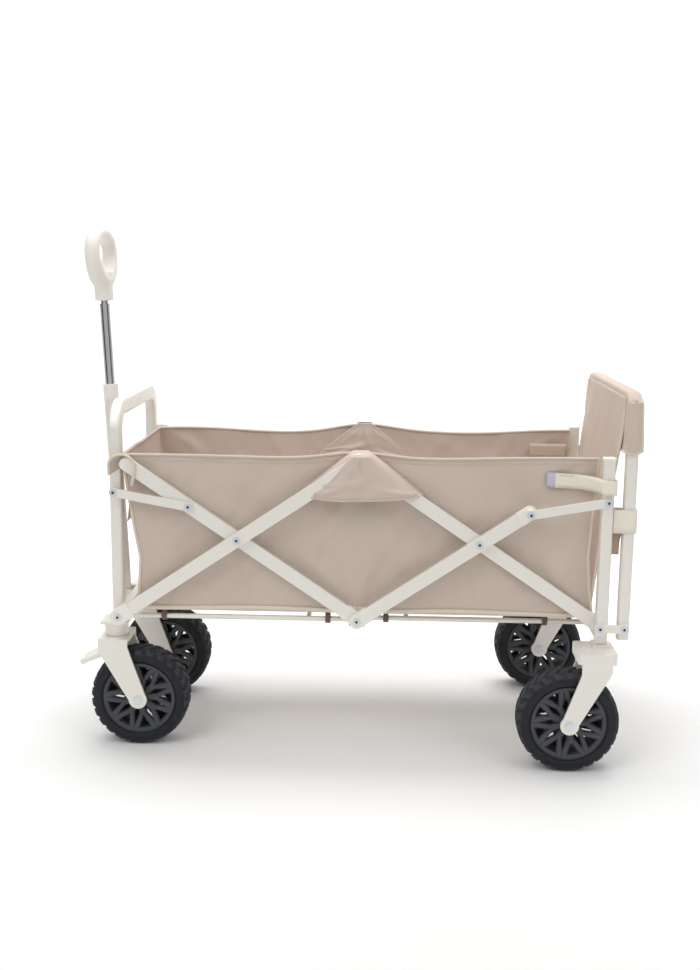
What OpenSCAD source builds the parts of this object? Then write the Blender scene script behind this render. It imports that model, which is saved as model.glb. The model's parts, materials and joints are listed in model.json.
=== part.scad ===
// Folding wagon with a telescopic pull handle, a drop-down tailgate and two swivel casters.
// Millimetres, +Z up. The handle end is at -X and the tailgate end at +X.
// The origin is on the ground, under the middle of the whole wagon.

/* [Folding frame] */
// Horizontal run of half a scissor bar when the wagon is open
half_run = 208.5; // [170:0.5:260]
// Vertical rise of half a scissor bar when the wagon is open
half_rise = 140.5; // [115:0.5:165]
// Height of the lower scissor pivots above the ground
pivot_z = 250; // [236:1:300]
// Width of a scissor bar
bar_w = 23; // [16:1:28]
// Thickness of a scissor bar
bar_t = 10; // [6:1:14]
// Side play between neighbouring bars
bar_gap = 1; // [0.6:0.1:2]
// Radius of the frame rivets
rivet_r = 4; // [3:0.5:5]
// Radial clearance of a rivet in its hole
fit = 0.05; // [0.02:0.01:0.1]

/* [End frames] */
// Distance from a lower pivot out to the post's centre line
post_offset = 4; // [0:0.5:8]
// Size of a front leg along the wagon
leg_x = 20; // [16:1:26]
// Size of a front leg across the wagon
leg_y = 28; // [20:1:32]
// Top of the front frame's cross bar
front_top = 625; // [580:1:720]
// Radius of the front frame's top corners, on the tube's centre line
front_corner = 42; // [30:1:60]
// Size of a rear post, both ways
post_w = 20; // [16:1:24]
// Top of the rear posts
post_top = 545; // [500:1:640]
// Height of the short links' outer pivots above the lower pivots
link_rise = 220; // [190:1:240]
// Distance along the bar from its middle pivot to the short link's pivot
link_reach = 101; // [85:1:115]
// Width of a short link
link_w = 15; // [12:1:18]
// Thickness of a short link
link_t = 4; // [3:0.5:5]
// Diameter of the floor rods
rail_d = 9; // [7:0.5:11]

/* [Basket] */
// Outer half width of the fabric basket
basket_half = 170; // [140:1:220]
// Underside of the basket floor above the lower pivots
floor_lift = 8; // [7:0.5:14]
// Height of the basket's side walls
wall_h = 275; // [220:1:330]
// Rise of the rim over the top pivots
rim_peak = 10; // [0:1:20]
// Thickness of the fabric walls
cloth_t = 3; // [2:0.5:4]
// Gap between the basket's ends and the end frames
basket_gap = 3; // [2:0.5:8]

/* [Wheels] */
// Wheel radius, over the tread
wheel_r = 88; // [75:1:92]
// Wheel width
wheel_w = 62; // [44:1:66]
// Distance of the front casters in from the middle of the front legs
caster_inset = 30; // [24:1:44]
// Distance of the rear wheels out from the middle of the rear posts
wheel_outset = 13; // [5:1:30]
// Offset of an axle from its fork's post
trail = 43; // [30:1:50]
// Radius of the axle bolts
axle_r = 5; // [4:0.5:6]
// Thickness of the fork plates
fork_t = 5; // [4:0.5:6]
// Gap between a wheel and its fork
fork_gap = 3; // [2:0.5:5]
// Reach of a brake pedal out from the swivel axis
pedal_reach = 62; // [52:1:75]

/* [Handle] */
// Lean of the handle away from the wagon
handle_lean = 2.6; // [0:0.1:6]
// Length of the lower handle tube, from its pivot
lower_len = 372; // [330:1:420]
// Diameter of the lower handle tube
lower_d = 26; // [24:1:30]
// Length of the chrome tube that shows above the collar
chrome_out = 146; // [110:1:180]
// Diameter of the chrome tube
chrome_d = 18; // [16:0.5:20]
// Length of the grip
grip_len = 134; // [120:1:150]
// Width of the grip loop
grip_w = 122; // [100:1:130]
// Thickness of the grip loop
grip_t = 30; // [26:1:32]
// Resting turn of the grip about its tube
grip_turn = 7; // [0:1:10]

/* [Tailgate] */
// Gap between the rear posts and the tailgate frame
gate_gap = 17; // [15:1:24]
// Top of the tailgate frame
gate_top = 655; // [600:1:740]
// Thickness of the strap webbing
strap_t = 2; // [1.5:0.5:3]
// Width of the strap loops round the tailgate frame
loop_w = 40; // [30:1:50]

/* [Hidden] */
$fn = 48;
ivory = "#ece7dc";
cloth = "#cdbeb2";
webbing = "#efe7d8";

// Side layers, measured out from the middle of the wagon
inner_y = basket_half + 4;
outer_y = inner_y + bar_t + bar_gap;
leg_out = inner_y - bar_gap;
leg_mid = leg_out - leg_y / 2;
post_in = inner_y + bar_t + bar_gap;
post_mid = post_in + post_w / 2;
post_out = post_in + post_w;
front_link_y = outer_y + 0.5;
front_track = leg_mid - caster_inset;
rear_track = post_mid + wheel_outset;
rear_link_y = post_out + 1.5;

// Places along the wagon, with the middle pivots at mid_x
swivel_off = 17;
strap_out = gate_gap + 3 * post_w / 2 + strap_t + 1;
rear_reach = 2 * half_run + post_offset + strap_out;
front_reach = 2 * half_run + swivel_off + pedal_reach;
mid_x = (front_reach - rear_reach) / 2;
front_pivot = [mid_x - 2 * half_run, pivot_z];
rear_pivot = [mid_x + 2 * half_run, pivot_z];
low_pivot = [mid_x, pivot_z];
top_pivot = [mid_x, pivot_z + 2 * half_rise];
front_cross = [mid_x - half_run, pivot_z + half_rise];
rear_cross = [mid_x + half_run, pivot_z + half_rise];
leg_mid_x = front_pivot[0] - post_offset;
post_mid_x = rear_pivot[0] + post_offset;
gate_x = post_mid_x + post_w + gate_gap;
bracket_low = [post_mid_x - 3, pivot_z - 18];
bracket_t = 5;
bar_len = 2 * norm([half_run, half_rise]);
bar_dir = [half_run, half_rise] / norm([half_run, half_rise]);
front_link_in = [front_cross[0] - link_reach * bar_dir[0], front_cross[1] + link_reach * bar_dir[1]];
rear_link_in = [2 * mid_x - front_link_in[0], front_link_in[1]];
front_link_out = [leg_mid_x, pivot_z + link_rise];
rear_link_out = [post_mid_x, pivot_z + link_rise];
b_end = bar_len / 2 - 22;
b_tip = [front_cross[0] - b_end * bar_dir[0], front_cross[1] + b_end * bar_dir[1]];

// Heights
plate_t = 5;
leg_bottom = pivot_z - 22;
swivel_top = leg_bottom - plate_t;
crown_top = wheel_r * 2 + 24;
crown_t = 8;
post_bottom = crown_top + 14;
floor_z = pivot_z + floor_lift;
rim_z = floor_z + wall_h;
swivel_x = front_pivot[0] - swivel_off;
caster_axle_x = swivel_x + trail;
pedal_at = [swivel_x - 16, crown_top - 30];
rear_fork_x = post_mid_x - 11;
rear_axle_x = rear_fork_x - trail;
fork_half = wheel_w / 2 + fork_gap + fork_t;
rail_z = pivot_z - 5;
front_rail_y = basket_half - 8;
rear_rail_y = front_rail_y - rail_d - 2;
cross_d = rail_d - 1;
basket_x = 2 * half_run + post_offset - leg_x / 2 - basket_gap;
front_hinge_x = front_pivot[0] + leg_x / 2 + 4;
rear_hinge_x = rear_pivot[0] - post_w / 2 - 4;
lug_y = basket_half * 0.7;
handle_clear = 2.5;
handle_x = leg_mid_x - leg_x / 2 - lower_d / 2 - handle_clear;
handle_z = leg_bottom + 10;
chrome_top = lower_len + 28 + chrome_out;
chrome_low = 190;

// Copies a piece to the other side of the wagon
module both_sides() {
  children();
  mirror([0, 1, 0]) children();
}

// A flat piece drawn in the side view, from y_in outwards by t on the near side
module layer(y_in, t) {
  translate([0, -y_in, 0]) rotate([90, 0, 0]) linear_extrude(height = t) children();
}

// A pin across the wagon's side, from y_in outwards by t on the near side
module pin(p, y_in, t, r) {
  translate([p[0], -y_in, p[1]]) rotate([90, 0, 0]) cylinder(h = t, r = r);
}

// Side view of a bar of width w from p to q, with square ends
module bar_outline(p, q, w) {
  d = q - p;
  translate(p) rotate(atan2(d[1], d[0])) translate([0, -w / 2]) square([norm(d), w]);
}

// Side view of a plastic end round a pivot, reaching along a bar towards q
module end_outline(p, q, r, reach) {
  d = (q - p) / norm(q - p);
  translate(p) circle(r = r);
  bar_outline(p, p + reach * d, 2 * r);
}

// A rectangle of w by d with rounded corners, centred
module rounded(w, d, r) {
  square([w - 2 * r, d], center = true);
  square([w, d - 2 * r], center = true);
  for (sx = [-1, 1], sy = [-1, 1]) translate([sx * (w / 2 - r), sy * (d / 2 - r)]) circle(r = r);
}

// A rivet with a domed head outside and a flat head inside
module rivet(p, y_in, y_out) {
  pin(p, y_in, y_out - y_in, rivet_r);
  pin(p, y_out, 1.4, rivet_r * 1.7);
  pin(p, y_out + 1.4, 0.9, rivet_r * 1.1);
}

// A U of rounded tube standing across the wagon at x, with its legs at +-y_mid
module tube_arch(x, y_mid, bottom, top, sx, sy, corner) {
  arch_z = top - sy / 2 - corner;
  both_sides() {
    translate([x, -y_mid, bottom]) linear_extrude(height = arch_z - bottom) rounded(sx, sy, 5);
    translate([x, -(y_mid - corner), arch_z]) rotate([90, 0, -90])
      rotate_extrude(angle = 90) translate([corner, 0]) rounded(sy, sx, 5);
  }
  translate([x, 0, top - sy / 2]) rotate([90, 0, 0])
    linear_extrude(height = 2 * (y_mid - corner), center = true) rounded(sx, sy, 5);
}

module front_frame() {
  color(ivory) difference() {
    union() {
      tube_arch(leg_mid_x, leg_mid, leg_bottom, front_top, leg_x, leg_y, front_corner);
      translate([leg_mid_x, 0, leg_bottom + 12]) rotate([90, 0, 0])
        linear_extrude(height = 2 * leg_mid, center = true) rounded(leg_x - 2, 22, 4);
      rail_lugs(leg_mid_x, front_hinge_x);
    }
    both_sides() {
      pin(front_pivot, leg_out - leg_y - 1, leg_y + 2, rivet_r + fit);
      pin(front_link_out, leg_out - leg_y - 1, leg_y + 2, rivet_r + fit);
    }
    for (s = [-1, 1]) translate([leg_mid_x, s * 12, front_top - 14]) rotate([0, 90, 0])
      cylinder(h = leg_x, r = 2.2);
  }
}

// Swivel housings under the front frame's lower cross bar
module caster_plates() {
  color(ivory) both_sides() difference() {
    union() {
      translate([swivel_x - 24, -front_track - 24, leg_bottom - plate_t]) cube([48, 48, plate_t]);
      translate([swivel_x, -front_track, crown_top + 0.6])
        cylinder(h = leg_bottom - plate_t - crown_top - 0.6, r = 21);
    }
    translate([swivel_x, -front_track, crown_top]) cylinder(h = leg_bottom - crown_top - 1, r = 6 + fit);
  }
}

module front_rivets() {
  color("silver") both_sides() {
    rivet(front_pivot, leg_out - leg_y, outer_y + bar_t + 1);
    rivet(front_link_out, leg_out - leg_y, front_link_y + link_t);
  }
}

// Bars A: from the front lower pivots up to the top pivots, in the outer layer
module bars_a() {
  color(ivory) both_sides() difference() {
    layer(outer_y, bar_t) bar_outline(front_pivot + 26 * bar_dir, top_pivot, bar_w);
    pin(front_cross, outer_y - 1, bar_t + 2, rivet_r + fit);
    pin(top_pivot, outer_y - 1, bar_t + 2, 13.01);
  }
}

module ends_a() {
  color("#f3efe6") both_sides() {
    difference() {
      union() {
        layer(leg_out + 0.5, outer_y + bar_t + 1 - leg_out - 0.5) circle_at(front_pivot, 14);
        layer(outer_y - 0.4, bar_t + 1.4) end_outline(front_pivot, top_pivot, 14, 26);
      }
      pin(front_pivot, leg_out, outer_y + bar_t + 2 - leg_out, rivet_r + fit);
    }
    difference() {
      layer(outer_y, bar_t) circle_at(top_pivot, 13);
      pin(top_pivot, outer_y - 1, bar_t + 2, rivet_r + fit);
    }
  }
}

module circle_at(p, r) {
  translate(p) circle(r = r);
}

module rivets_a() {
  color("silver") both_sides() {
    rivet(front_cross, inner_y, outer_y + bar_t);
    rivet(top_pivot, inner_y, outer_y + bar_t);
  }
}

// Bars B: from the middle lower pivots up towards the front corners, in the inner layer
module bars_b() {
  color(ivory) both_sides() difference() {
    layer(inner_y, bar_t) bar_outline(low_pivot + [-26 * bar_dir[0], 26 * bar_dir[1]], b_tip, bar_w);
    pin(front_cross, inner_y - 1, bar_t + 2, rivet_r + fit);
    pin(front_link_in, inner_y - 1, bar_t + 2, rivet_r + fit);
  }
}

module ends_b() {
  color("#f3efe6") both_sides() {
    difference() {
      layer(inner_y, bar_t) end_outline(low_pivot, front_cross, 13, 26);
      pin(low_pivot, inner_y - 1, bar_t + 2, rivet_r + fit);
    }
    layer(inner_y, bar_t) difference() {
      circle_at(b_tip, bar_w / 2);
      bar_outline(b_tip, front_cross, bar_w + 1);
    }
  }
}

// Bars C: from the top pivots down to the rear lower pivots, in the inner layer
module bars_c() {
  color(ivory) both_sides() difference() {
    layer(inner_y, bar_t) bar_outline(top_pivot, rear_pivot + [-20 * bar_dir[0], 20 * bar_dir[1]], bar_w);
    pin(rear_cross, inner_y - 1, bar_t + 2, rivet_r + fit);
    pin(top_pivot, inner_y - 1, bar_t + 2, 13.01);
  }
}

module ends_c() {
  color("#f3efe6") both_sides() {
    difference() {
      layer(inner_y, bar_t) end_outline(rear_pivot, top_pivot, 13, 20);
      pin(rear_pivot, inner_y - 1, bar_t + 2, rivet_r + fit);
    }
    difference() {
      layer(inner_y, bar_t) circle_at(top_pivot, 13);
      pin(top_pivot, inner_y - 1, bar_t + 2, rivet_r + fit);
    }
  }
}

module rear_rivets() {
  color("silver") both_sides() {
    rivet(rear_pivot, inner_y, post_out + bracket_t);
    rivet(rear_link_out, post_in, rear_link_y + link_t);
  }
}

// Bars D: from the middle lower pivots up to the rear links, in the outer layer
module bars_d() {
  color(ivory) both_sides() difference() {
    layer(outer_y, bar_t) bar_outline(low_pivot + 26 * bar_dir, rear_link_in - 20 * bar_dir, bar_w);
    pin(rear_cross, outer_y - 1, bar_t + 2, rivet_r + fit);
  }
}

module ends_d() {
  color("#f3efe6") both_sides() {
    difference() {
      layer(outer_y, bar_t) end_outline(low_pivot, rear_cross, 13, 26);
      pin(low_pivot, outer_y - 1, bar_t + 2, rivet_r + fit);
    }
    difference() {
      union() {
        layer(outer_y, bar_t) end_outline(rear_link_in, rear_cross, 12, 20);
        layer(outer_y, rear_link_y - 0.5 - outer_y) circle_at(rear_link_in, 9);
      }
      pin(rear_link_in, outer_y - 1, rear_link_y + 1 - outer_y, rivet_r + fit);
    }
  }
}

module rivets_d() {
  color("silver") both_sides() {
    rivet(rear_cross, inner_y, outer_y + bar_t);
    rivet(low_pivot, inner_y, outer_y + bar_t);
  }
}

// Side view of a short link from p to q with a rivet hole at each end
module link_outline(p, q, hole_p, hole_q) {
  difference() {
    union() {
      bar_outline(p, q, link_w);
      circle_at(p, link_w / 2);
      circle_at(q, link_w / 2 + 1);
    }
    circle_at(p, hole_p);
    circle_at(q, hole_q);
  }
}

// Short links that hold the front legs upright
module front_links() {
  color(ivory) both_sides() {
    layer(front_link_y, link_t) link_outline(front_link_out, front_link_in, rivet_r + fit, rivet_r + 0.5);
    layer(leg_out + 0.3, front_link_y - leg_out - 0.3) difference() {
      circle_at(front_link_out, 6.5);
      circle_at(front_link_out, rivet_r + fit);
    }
  }
}

module front_link_rivets() {
  color("silver") both_sides() {
    pin(front_link_in, front_link_y + link_t, 1.4, rivet_r * 1.7);
    pin(front_link_in, front_link_y + link_t + 1.4, 0.9, rivet_r * 1.1);
  }
}

// Short links that hold the rear posts upright
module rear_links() {
  color(ivory) both_sides()
    layer(rear_link_y, link_t) link_outline(rear_link_out, rear_link_in, rivet_r + fit, rivet_r + 0.5);
}

module rear_link_rivets() {
  color("silver") both_sides() {
    pin(rear_link_in, rear_link_y + link_t, 1.4, rivet_r * 1.7);
    pin(rear_link_in, rear_link_y + link_t + 1.4, 0.9, rivet_r * 1.1);
  }
}

// Half of the floor's rod frame: two side rods and a cross rod, from x_end to the middle
module rail_half(x_end, y, dir) {
  reach = 2 * half_run - 2;
  cross_at = 2 * half_run * 0.76;
  both_sides() translate([x_end - dir * rail_d / 2, -y, rail_z]) rotate([0, dir * 90, 0])
    cylinder(h = reach + rail_d / 2, d = rail_d);
  for (x = [0, cross_at]) translate([x_end + dir * x, 0, rail_z]) rotate([90, 0, 0])
    cylinder(h = 2 * y, d = cross_d, center = true);
}

module front_rails() {
  color(ivory) rail_half(front_hinge_x, front_rail_y, 1);
}

module rear_rails() {
  color(ivory) rail_half(rear_hinge_x, rear_rail_y, -1);
}

// Lugs that carry a rod frame's hinge rod on a cross bar, from x_bar to the rod at x_end
module rail_lugs(x_bar, x_end) {
  both_sides() layer(lug_y, 6) difference() {
    union() {
      bar_outline([x_bar, rail_z], [x_end, rail_z], rail_d + 5);
      circle_at([x_end, rail_z], rail_d / 2 + 2.5);
    }
    circle_at([x_end, rail_z], cross_d / 2 + fit);
  }
}

// Sleeves under the rods' middle, which keep the two halves level when open
module rail_sleeves() {
  color(ivory) both_sides() difference() {
    translate([mid_x - 13, -front_rail_y, rail_z - rail_d - 0.5]) rotate([0, 90, 0]) cylinder(h = 26, d = rail_d);
    for (s = [-1, 1]) translate([mid_x + s * 13, -front_rail_y, rail_z - rail_d - 0.5])
      rotate([0, 90, 0]) cylinder(h = 16, d = rail_d - 3, center = true);
  }
}

module rail_plugs() {
  color("#222222") both_sides() for (s = [-1, 1])
    translate([mid_x + s * 10, -front_rail_y, rail_z - rail_d - 0.5]) rotate([0, 90, 0])
      cylinder(h = 8, d = rail_d - 3.4, center = true);
}

// Rear posts joined by a lower cross bar
module rear_frame() {
  color(ivory) difference() {
    union() {
      both_sides() translate([post_mid_x, -post_mid, post_bottom])
        linear_extrude(height = post_top - 4 - post_bottom) rounded(post_w, post_w, 3);
      translate([post_mid_x + 1, 0, leg_bottom + 1.5]) rotate([90, 0, 0])
        linear_extrude(height = 2 * post_mid, center = true) rounded(post_w - 4, 14, 3);
      rail_lugs(post_mid_x, rear_hinge_x);
    }
    both_sides() {
      pin(rear_pivot, post_in - 1, post_w + 2, rivet_r + fit);
      pin(rear_link_out, post_in - 1, post_w + 2, rivet_r + fit);
      pin(bracket_low, post_out - 6, 8, rivet_r - 1 + fit);
    }
  }
}

module post_caps() {
  color("white") both_sides() translate([post_mid_x, -post_mid, post_top - 4])
    linear_extrude(height = 4) rounded(post_w + 1, post_w + 1, 3);
}

// Side view of a fork plate from its crown at x_top to the axle at x_axle
module fork_outline(x_top, x_axle) {
  tip_r = 16;
  wide = 26;
  crown_bottom = crown_top - crown_t;
  difference() {
    union() {
      translate([x_axle, wheel_r]) circle(r = tip_r);
      polygon([
        [x_top - wide, crown_top], [x_top + wide, crown_top], [x_top + wide, crown_bottom - 8],
        [x_axle + tip_r * 0.99, wheel_r + tip_r * 0.1], [x_axle - tip_r * 0.99, wheel_r - tip_r * 0.1],
        [x_top - wide, crown_bottom - 14]
      ]);
    }
    translate([x_axle, wheel_r]) circle(r = axle_r + fit);
  }
}

// Two fork plates and their crown, for a wheel whose middle is at y
module fork(x_top, x_axle, y) {
  for (s = [0, 1]) translate([0, s ? -y + fork_half : -y - fork_half + fork_t, 0])
    rotate([90, 0, 0]) linear_extrude(height = fork_t) fork_outline(x_top, x_axle);
  translate([x_top - 26, -y - fork_half, crown_top - crown_t]) cube([52, 2 * fork_half, crown_t]);
}

module rear_forks() {
  block_z = crown_top + 16;
  color(ivory) both_sides() difference() {
    union() {
      fork(rear_fork_x, rear_axle_x, rear_track);
      translate([rear_fork_x, -rear_track, crown_top - 2]) linear_extrude(height = block_z - crown_top + 2)
        rounded(66, 2 * fork_half, 6);
      translate([post_mid_x, -post_mid, block_z]) linear_extrude(height = 6)
        rounded(post_w + 10, post_w + 10, 4);
    }
    translate([post_mid_x, -post_mid, post_bottom]) linear_extrude(height = 40)
      rounded(post_w + 0.1, post_w + 0.1, 3);
  }
}

// Axle bolt with a domed head and a nut, for a wheel whose middle is at y
module axle(x, y) {
  translate([x, -y, wheel_r]) rotate([90, 0, 0]) {
    cylinder(h = 2 * fork_half, r = axle_r, center = true);
    translate([0, 0, fork_half]) cylinder(h = 2, r = axle_r * 1.7);
    translate([0, 0, fork_half + 2]) cylinder(h = 1.2, r = axle_r * 1.2);
    translate([0, 0, -fork_half - 4]) cylinder(h = 4, r = axle_r * 1.7, $fn = 6);
  }
}

module rear_axles() {
  color("silver") both_sides() axle(rear_axle_x, rear_track);
}

// Brackets that carry the tailgate's pivots on the rear posts
module gate_brackets() {
  pivot = [gate_x, pivot_z];
  color("#f3efe6") both_sides() layer(post_out, bracket_t) difference() {
    union() {
      bar_outline(rear_pivot, bracket_low, 16);
      circle_at(rear_pivot, 9);
      circle_at(bracket_low, 8);
      bar_outline(rear_pivot, pivot, 14);
      circle_at(pivot, 9);
    }
    circle_at(rear_pivot, rivet_r + fit);
    circle_at(bracket_low, rivet_r - 1 + fit);
    circle_at(pivot, rivet_r + fit);
  }
}

module bracket_rivets() {
  color("silver") both_sides() {
    pin(bracket_low, post_out - 5, bracket_t + 5, rivet_r - 1);
    pin(bracket_low, post_out + bracket_t, 2, rivet_r * 1.5);
    rivet([gate_x, pivot_z], post_in + 1, post_out + bracket_t);
  }
}

// Swivel fork of a caster, with its king pin
module caster_fork() {
  color(ivory) {
    fork(swivel_x, caster_axle_x, front_track);
    translate([swivel_x, -front_track, crown_top - 1]) cylinder(h = 16, r = 6);
  }
}

module caster_fork_near() { caster_fork(); }
module caster_fork_far() { mirror([0, 1, 0]) caster_fork(); }

module caster_axle() {
  color("silver") axle(caster_axle_x, front_track);
}

module caster_axle_near() { caster_axle(); }
module caster_axle_far() { mirror([0, 1, 0]) caster_axle(); }

// Foot pedal of a caster's brake, on a pin between the fork plates
module pedal() {
  tip = [swivel_x - pedal_reach + 5, crown_top - 47];
  half = wheel_w / 2 - 6;
  color("#f3efe6") difference() {
    translate([0, -front_track + half, 0]) rotate([90, 0, 0]) linear_extrude(height = 2 * half) {
      bar_outline(pedal_at, tip, 8);
      circle_at(tip, 5);
      circle_at(pedal_at, 8);
    }
    translate([pedal_at[0], -front_track, pedal_at[1]]) rotate([90, 0, 0])
      cylinder(h = wheel_w, r = 3 + fit, center = true);
  }
}

module pedal_near() { pedal(); }
module pedal_far() { mirror([0, 1, 0]) pedal(); }

// Pin of the brake pedal, fixed in the fork
module pedal_pin() {
  color("#222222") translate([pedal_at[0], -front_track, pedal_at[1]]) rotate([90, 0, 0])
    cylinder(h = 2 * fork_half - 2 * fork_t, r = 3, center = true);
}

module pedal_pin_near() { pedal_pin(); }
module pedal_pin_far() { mirror([0, 1, 0]) pedal_pin(); }

// Tyre: a wide ring with rounded shoulders
module tyre(x, y) {
  rim_r = wheel_r * 0.78;
  color("#1c1d20") translate([x, -y, wheel_r]) rotate([90, 0, 0]) rotate_extrude($fn = 96)
    translate([(wheel_r + rim_r) / 2, 0]) rounded(wheel_r - rim_r, wheel_w, 6);
}

module tyre_front_near() { tyre(caster_axle_x, front_track); }
module tyre_front_far() { mirror([0, 1, 0]) tyre(caster_axle_x, front_track); }
module tyre_rear_near() { tyre(rear_axle_x, rear_track); }
module tyre_rear_far() { mirror([0, 1, 0]) tyre(rear_axle_x, rear_track); }

// Rim: hub, ten forked spokes and an outer ring
module rim(x, y) {
  rim_r = wheel_r * 0.78;
  spokes = 10;
  color("#26272b") translate([x, -y, wheel_r]) rotate([90, 0, 0]) difference() {
    union() {
      cylinder(h = wheel_w - 2, r = 15, center = true);
      linear_extrude(height = wheel_w - 14, center = true) difference() {
        circle(r = rim_r, $fn = 96);
        circle(r = rim_r - 4, $fn = 96);
      }
      for (i = [0 : spokes - 1]) rotate(i * 360 / spokes)
        linear_extrude(height = wheel_w - 20, center = true) polygon([
          [12, -2], [rim_r * 0.55, -1.6], [rim_r - 2, -10], [rim_r - 2, -6.5], [rim_r * 0.62, 0],
          [rim_r - 2, 6.5], [rim_r - 2, 10], [rim_r * 0.55, 1.6], [12, 2]
        ]);
    }
    cylinder(h = wheel_w, r = axle_r + fit, center = true);
  }
}

module rim_front_near() { rim(caster_axle_x, front_track); }
module rim_front_far() { mirror([0, 1, 0]) rim(caster_axle_x, front_track); }
module rim_rear_near() { rim(rear_axle_x, rear_track); }
module rim_rear_far() { mirror([0, 1, 0]) rim(rear_axle_x, rear_track); }

// Places a piece that is drawn upright on the leaning handle's pivot
module on_handle() {
  translate([handle_x, 0, handle_z]) rotate([0, -handle_lean, 0]) children();
}

// Fork bracket on the lower cross bar that holds the handle's pivot pin
module handle_bracket() {
  ear = 5;
  color(ivory) for (s = [-1, 1]) difference() {
    translate([handle_x - 12, s * (lower_d / 2 + 1) + (s < 0 ? -ear : 0), handle_z - 12])
      cube([leg_mid_x - leg_x / 2 + 1 - handle_x + 12, ear, 24]);
    translate([handle_x, 0, handle_z]) rotate([90, 0, 0]) cylinder(h = 60, r = rivet_r + fit, center = true);
  }
}

// Lower handle tube with its pivot pin
module handle_tube() {
  bore_r = chrome_d / 2 + fit;
  color(ivory) {
    on_handle() difference() {
      translate([0, 0, -7]) cylinder(h = lower_len + 7, d = lower_d);
      translate([0, 0, 24]) cylinder(h = lower_len, r = bore_r);
    }
    on_handle() rotate([90, 0, 0]) cylinder(h = lower_d + 14, r = rivet_r, center = true);
  }
}

module handle_collar() {
  color("#f0ebdf") on_handle() difference() {
    translate([0, 0, lower_len]) cylinder(h = 28, d = lower_d + 1);
    translate([0, 0, lower_len - 1]) cylinder(h = 30, r = chrome_d / 2 + fit);
  }
}

module chrome_tube() {
  color("#d8dade") on_handle() difference() {
    union() {
      translate([0, 0, chrome_low]) cylinder(h = chrome_top - chrome_low, d = chrome_d);
      translate([0, 0, chrome_top - 3]) cylinder(h = 3, d = chrome_d + 1.5);
    }
    translate([0, 0, chrome_low + 4]) cylinder(h = chrome_top, r = chrome_d / 2 - 2 + fit);
  }
}

module inner_tube() {
  color("#d8dade") on_handle() translate([0, 0, chrome_low + 12])
    cylinder(h = chrome_top + 30 - chrome_low - 12, r = chrome_d / 2 - 2);
}

// Loop grip: a rounded ring on a neck, open for a hand
module grip() {
  neck_r = 16;
  ring_z = grip_len - grip_w / 2;
  color("#f0ebdf") on_handle() translate([0, 0, chrome_top + 6]) rotate([0, 0, -grip_turn]) difference() {
    union() {
      translate([0, 0, ring_z]) rotate([0, 90, 0]) rotate_extrude()
        translate([(grip_w - grip_t) / 2, 0]) circle(d = grip_t);
      cylinder(h = ring_z - grip_w / 2 + grip_t / 2, r = neck_r);
    }
    translate([0, 0, -1]) cylinder(h = 26, r = chrome_d / 2 - 2 + fit);
  }
}

// Tailgate frame: a U of square tube, with pivot holes near its lower ends
module gate_frame() {
  color(ivory) difference() {
    tube_arch(gate_x, post_mid, leg_bottom + 2, gate_top, post_w, post_w, 30);
    both_sides() pin([gate_x, pivot_z], post_in - 1, post_w + 2, rivet_r + fit);
  }
}

// Rear end wall of fabric, carried by the tailgate frame
module gate_panel() {
  x_in = post_mid_x + post_w / 2 + 8;
  half = post_in - 4;
  color(cloth) translate([x_in, -half, floor_z + 4]) cube([cloth_t, 2 * half, gate_top - 2 - floor_z]);
}

// Webbing loops that tie the tailgate frame to the rear posts
module strap_loops() {
  z = pivot_z + link_rise - 12 - loop_w;
  x0 = post_mid_x + post_w / 2 + 3;
  x1 = gate_x + post_w / 2 + 1 + strap_t;
  y0 = post_out + 1 + strap_t;
  deep = post_w + 2 + 2 * strap_t;
  color(webbing) both_sides() difference() {
    translate([x0, -y0, z]) cube([x1 - x0, deep, loop_w]);
    translate([x0 + strap_t, -y0 + strap_t, z - 1])
      cube([x1 - x0 - 2 * strap_t, deep - 2 * strap_t, loop_w + 2]);
  }
}

// Hook-and-loop straps from the basket's sides to the rear posts
module side_straps() {
  z = pivot_z + link_rise + 12;
  x0 = post_mid_x - 96;
  color(webbing) both_sides() {
    translate([x0, -post_out - 4 - strap_t, z]) cube([96 + post_w / 2 + 1 + strap_t, strap_t, 28]);
    translate([post_mid_x + post_w / 2 + 1, -post_out - 4, z]) cube([strap_t, post_w + 6, 28]);
  }
}

// Side view of one half of a side wall, from the middle out to s * basket_x
module wall_outline(s) {
  polygon([
    [mid_x + s * 0.5, floor_z], [mid_x + s * basket_x, floor_z], [mid_x + s * basket_x, rim_z],
    [mid_x + s * basket_x * 0.16, rim_z + 2], [mid_x + s * 0.5, rim_z + rim_peak]
  ]);
}

module walls_front() {
  color(cloth) both_sides() layer(basket_half - cloth_t, cloth_t) wall_outline(-1);
}

module walls_rear() {
  color(cloth) both_sides() layer(basket_half - cloth_t, cloth_t) wall_outline(1);
}

// Front end wall of the basket
module end_wall() {
  half = basket_half - cloth_t - 0.5;
  color(cloth) translate([mid_x - basket_x, -half, floor_z]) cube([cloth_t, 2 * half, wall_h - 2]);
}

// Padded floor, one half each side of the middle
module floor_half(s) {
  half = basket_half - cloth_t - 0.5;
  x0 = s < 0 ? mid_x - basket_x + cloth_t + 0.5 : mid_x + 0.5;
  x1 = s < 0 ? mid_x : mid_x + basket_x;
  color(cloth) translate([x0, -half, floor_z]) cube([x1 - x0, 2 * half, 4]);
}

module floor_front() { floor_half(-1); }
module floor_rear() { floor_half(1); }

// Fabric pockets over the top pivots
module top_pockets() {
  reach = 88;
  color(cloth) both_sides() layer(outer_y + bar_t + 3, 2) polygon([
    [top_pivot[0] - reach, top_pivot[1] - reach * 0.6], [top_pivot[0] + reach, top_pivot[1] - reach * 0.6],
    [top_pivot[0] + 8, rim_z + rim_peak], [top_pivot[0] - 8, rim_z + rim_peak]
  ]);
}

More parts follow.
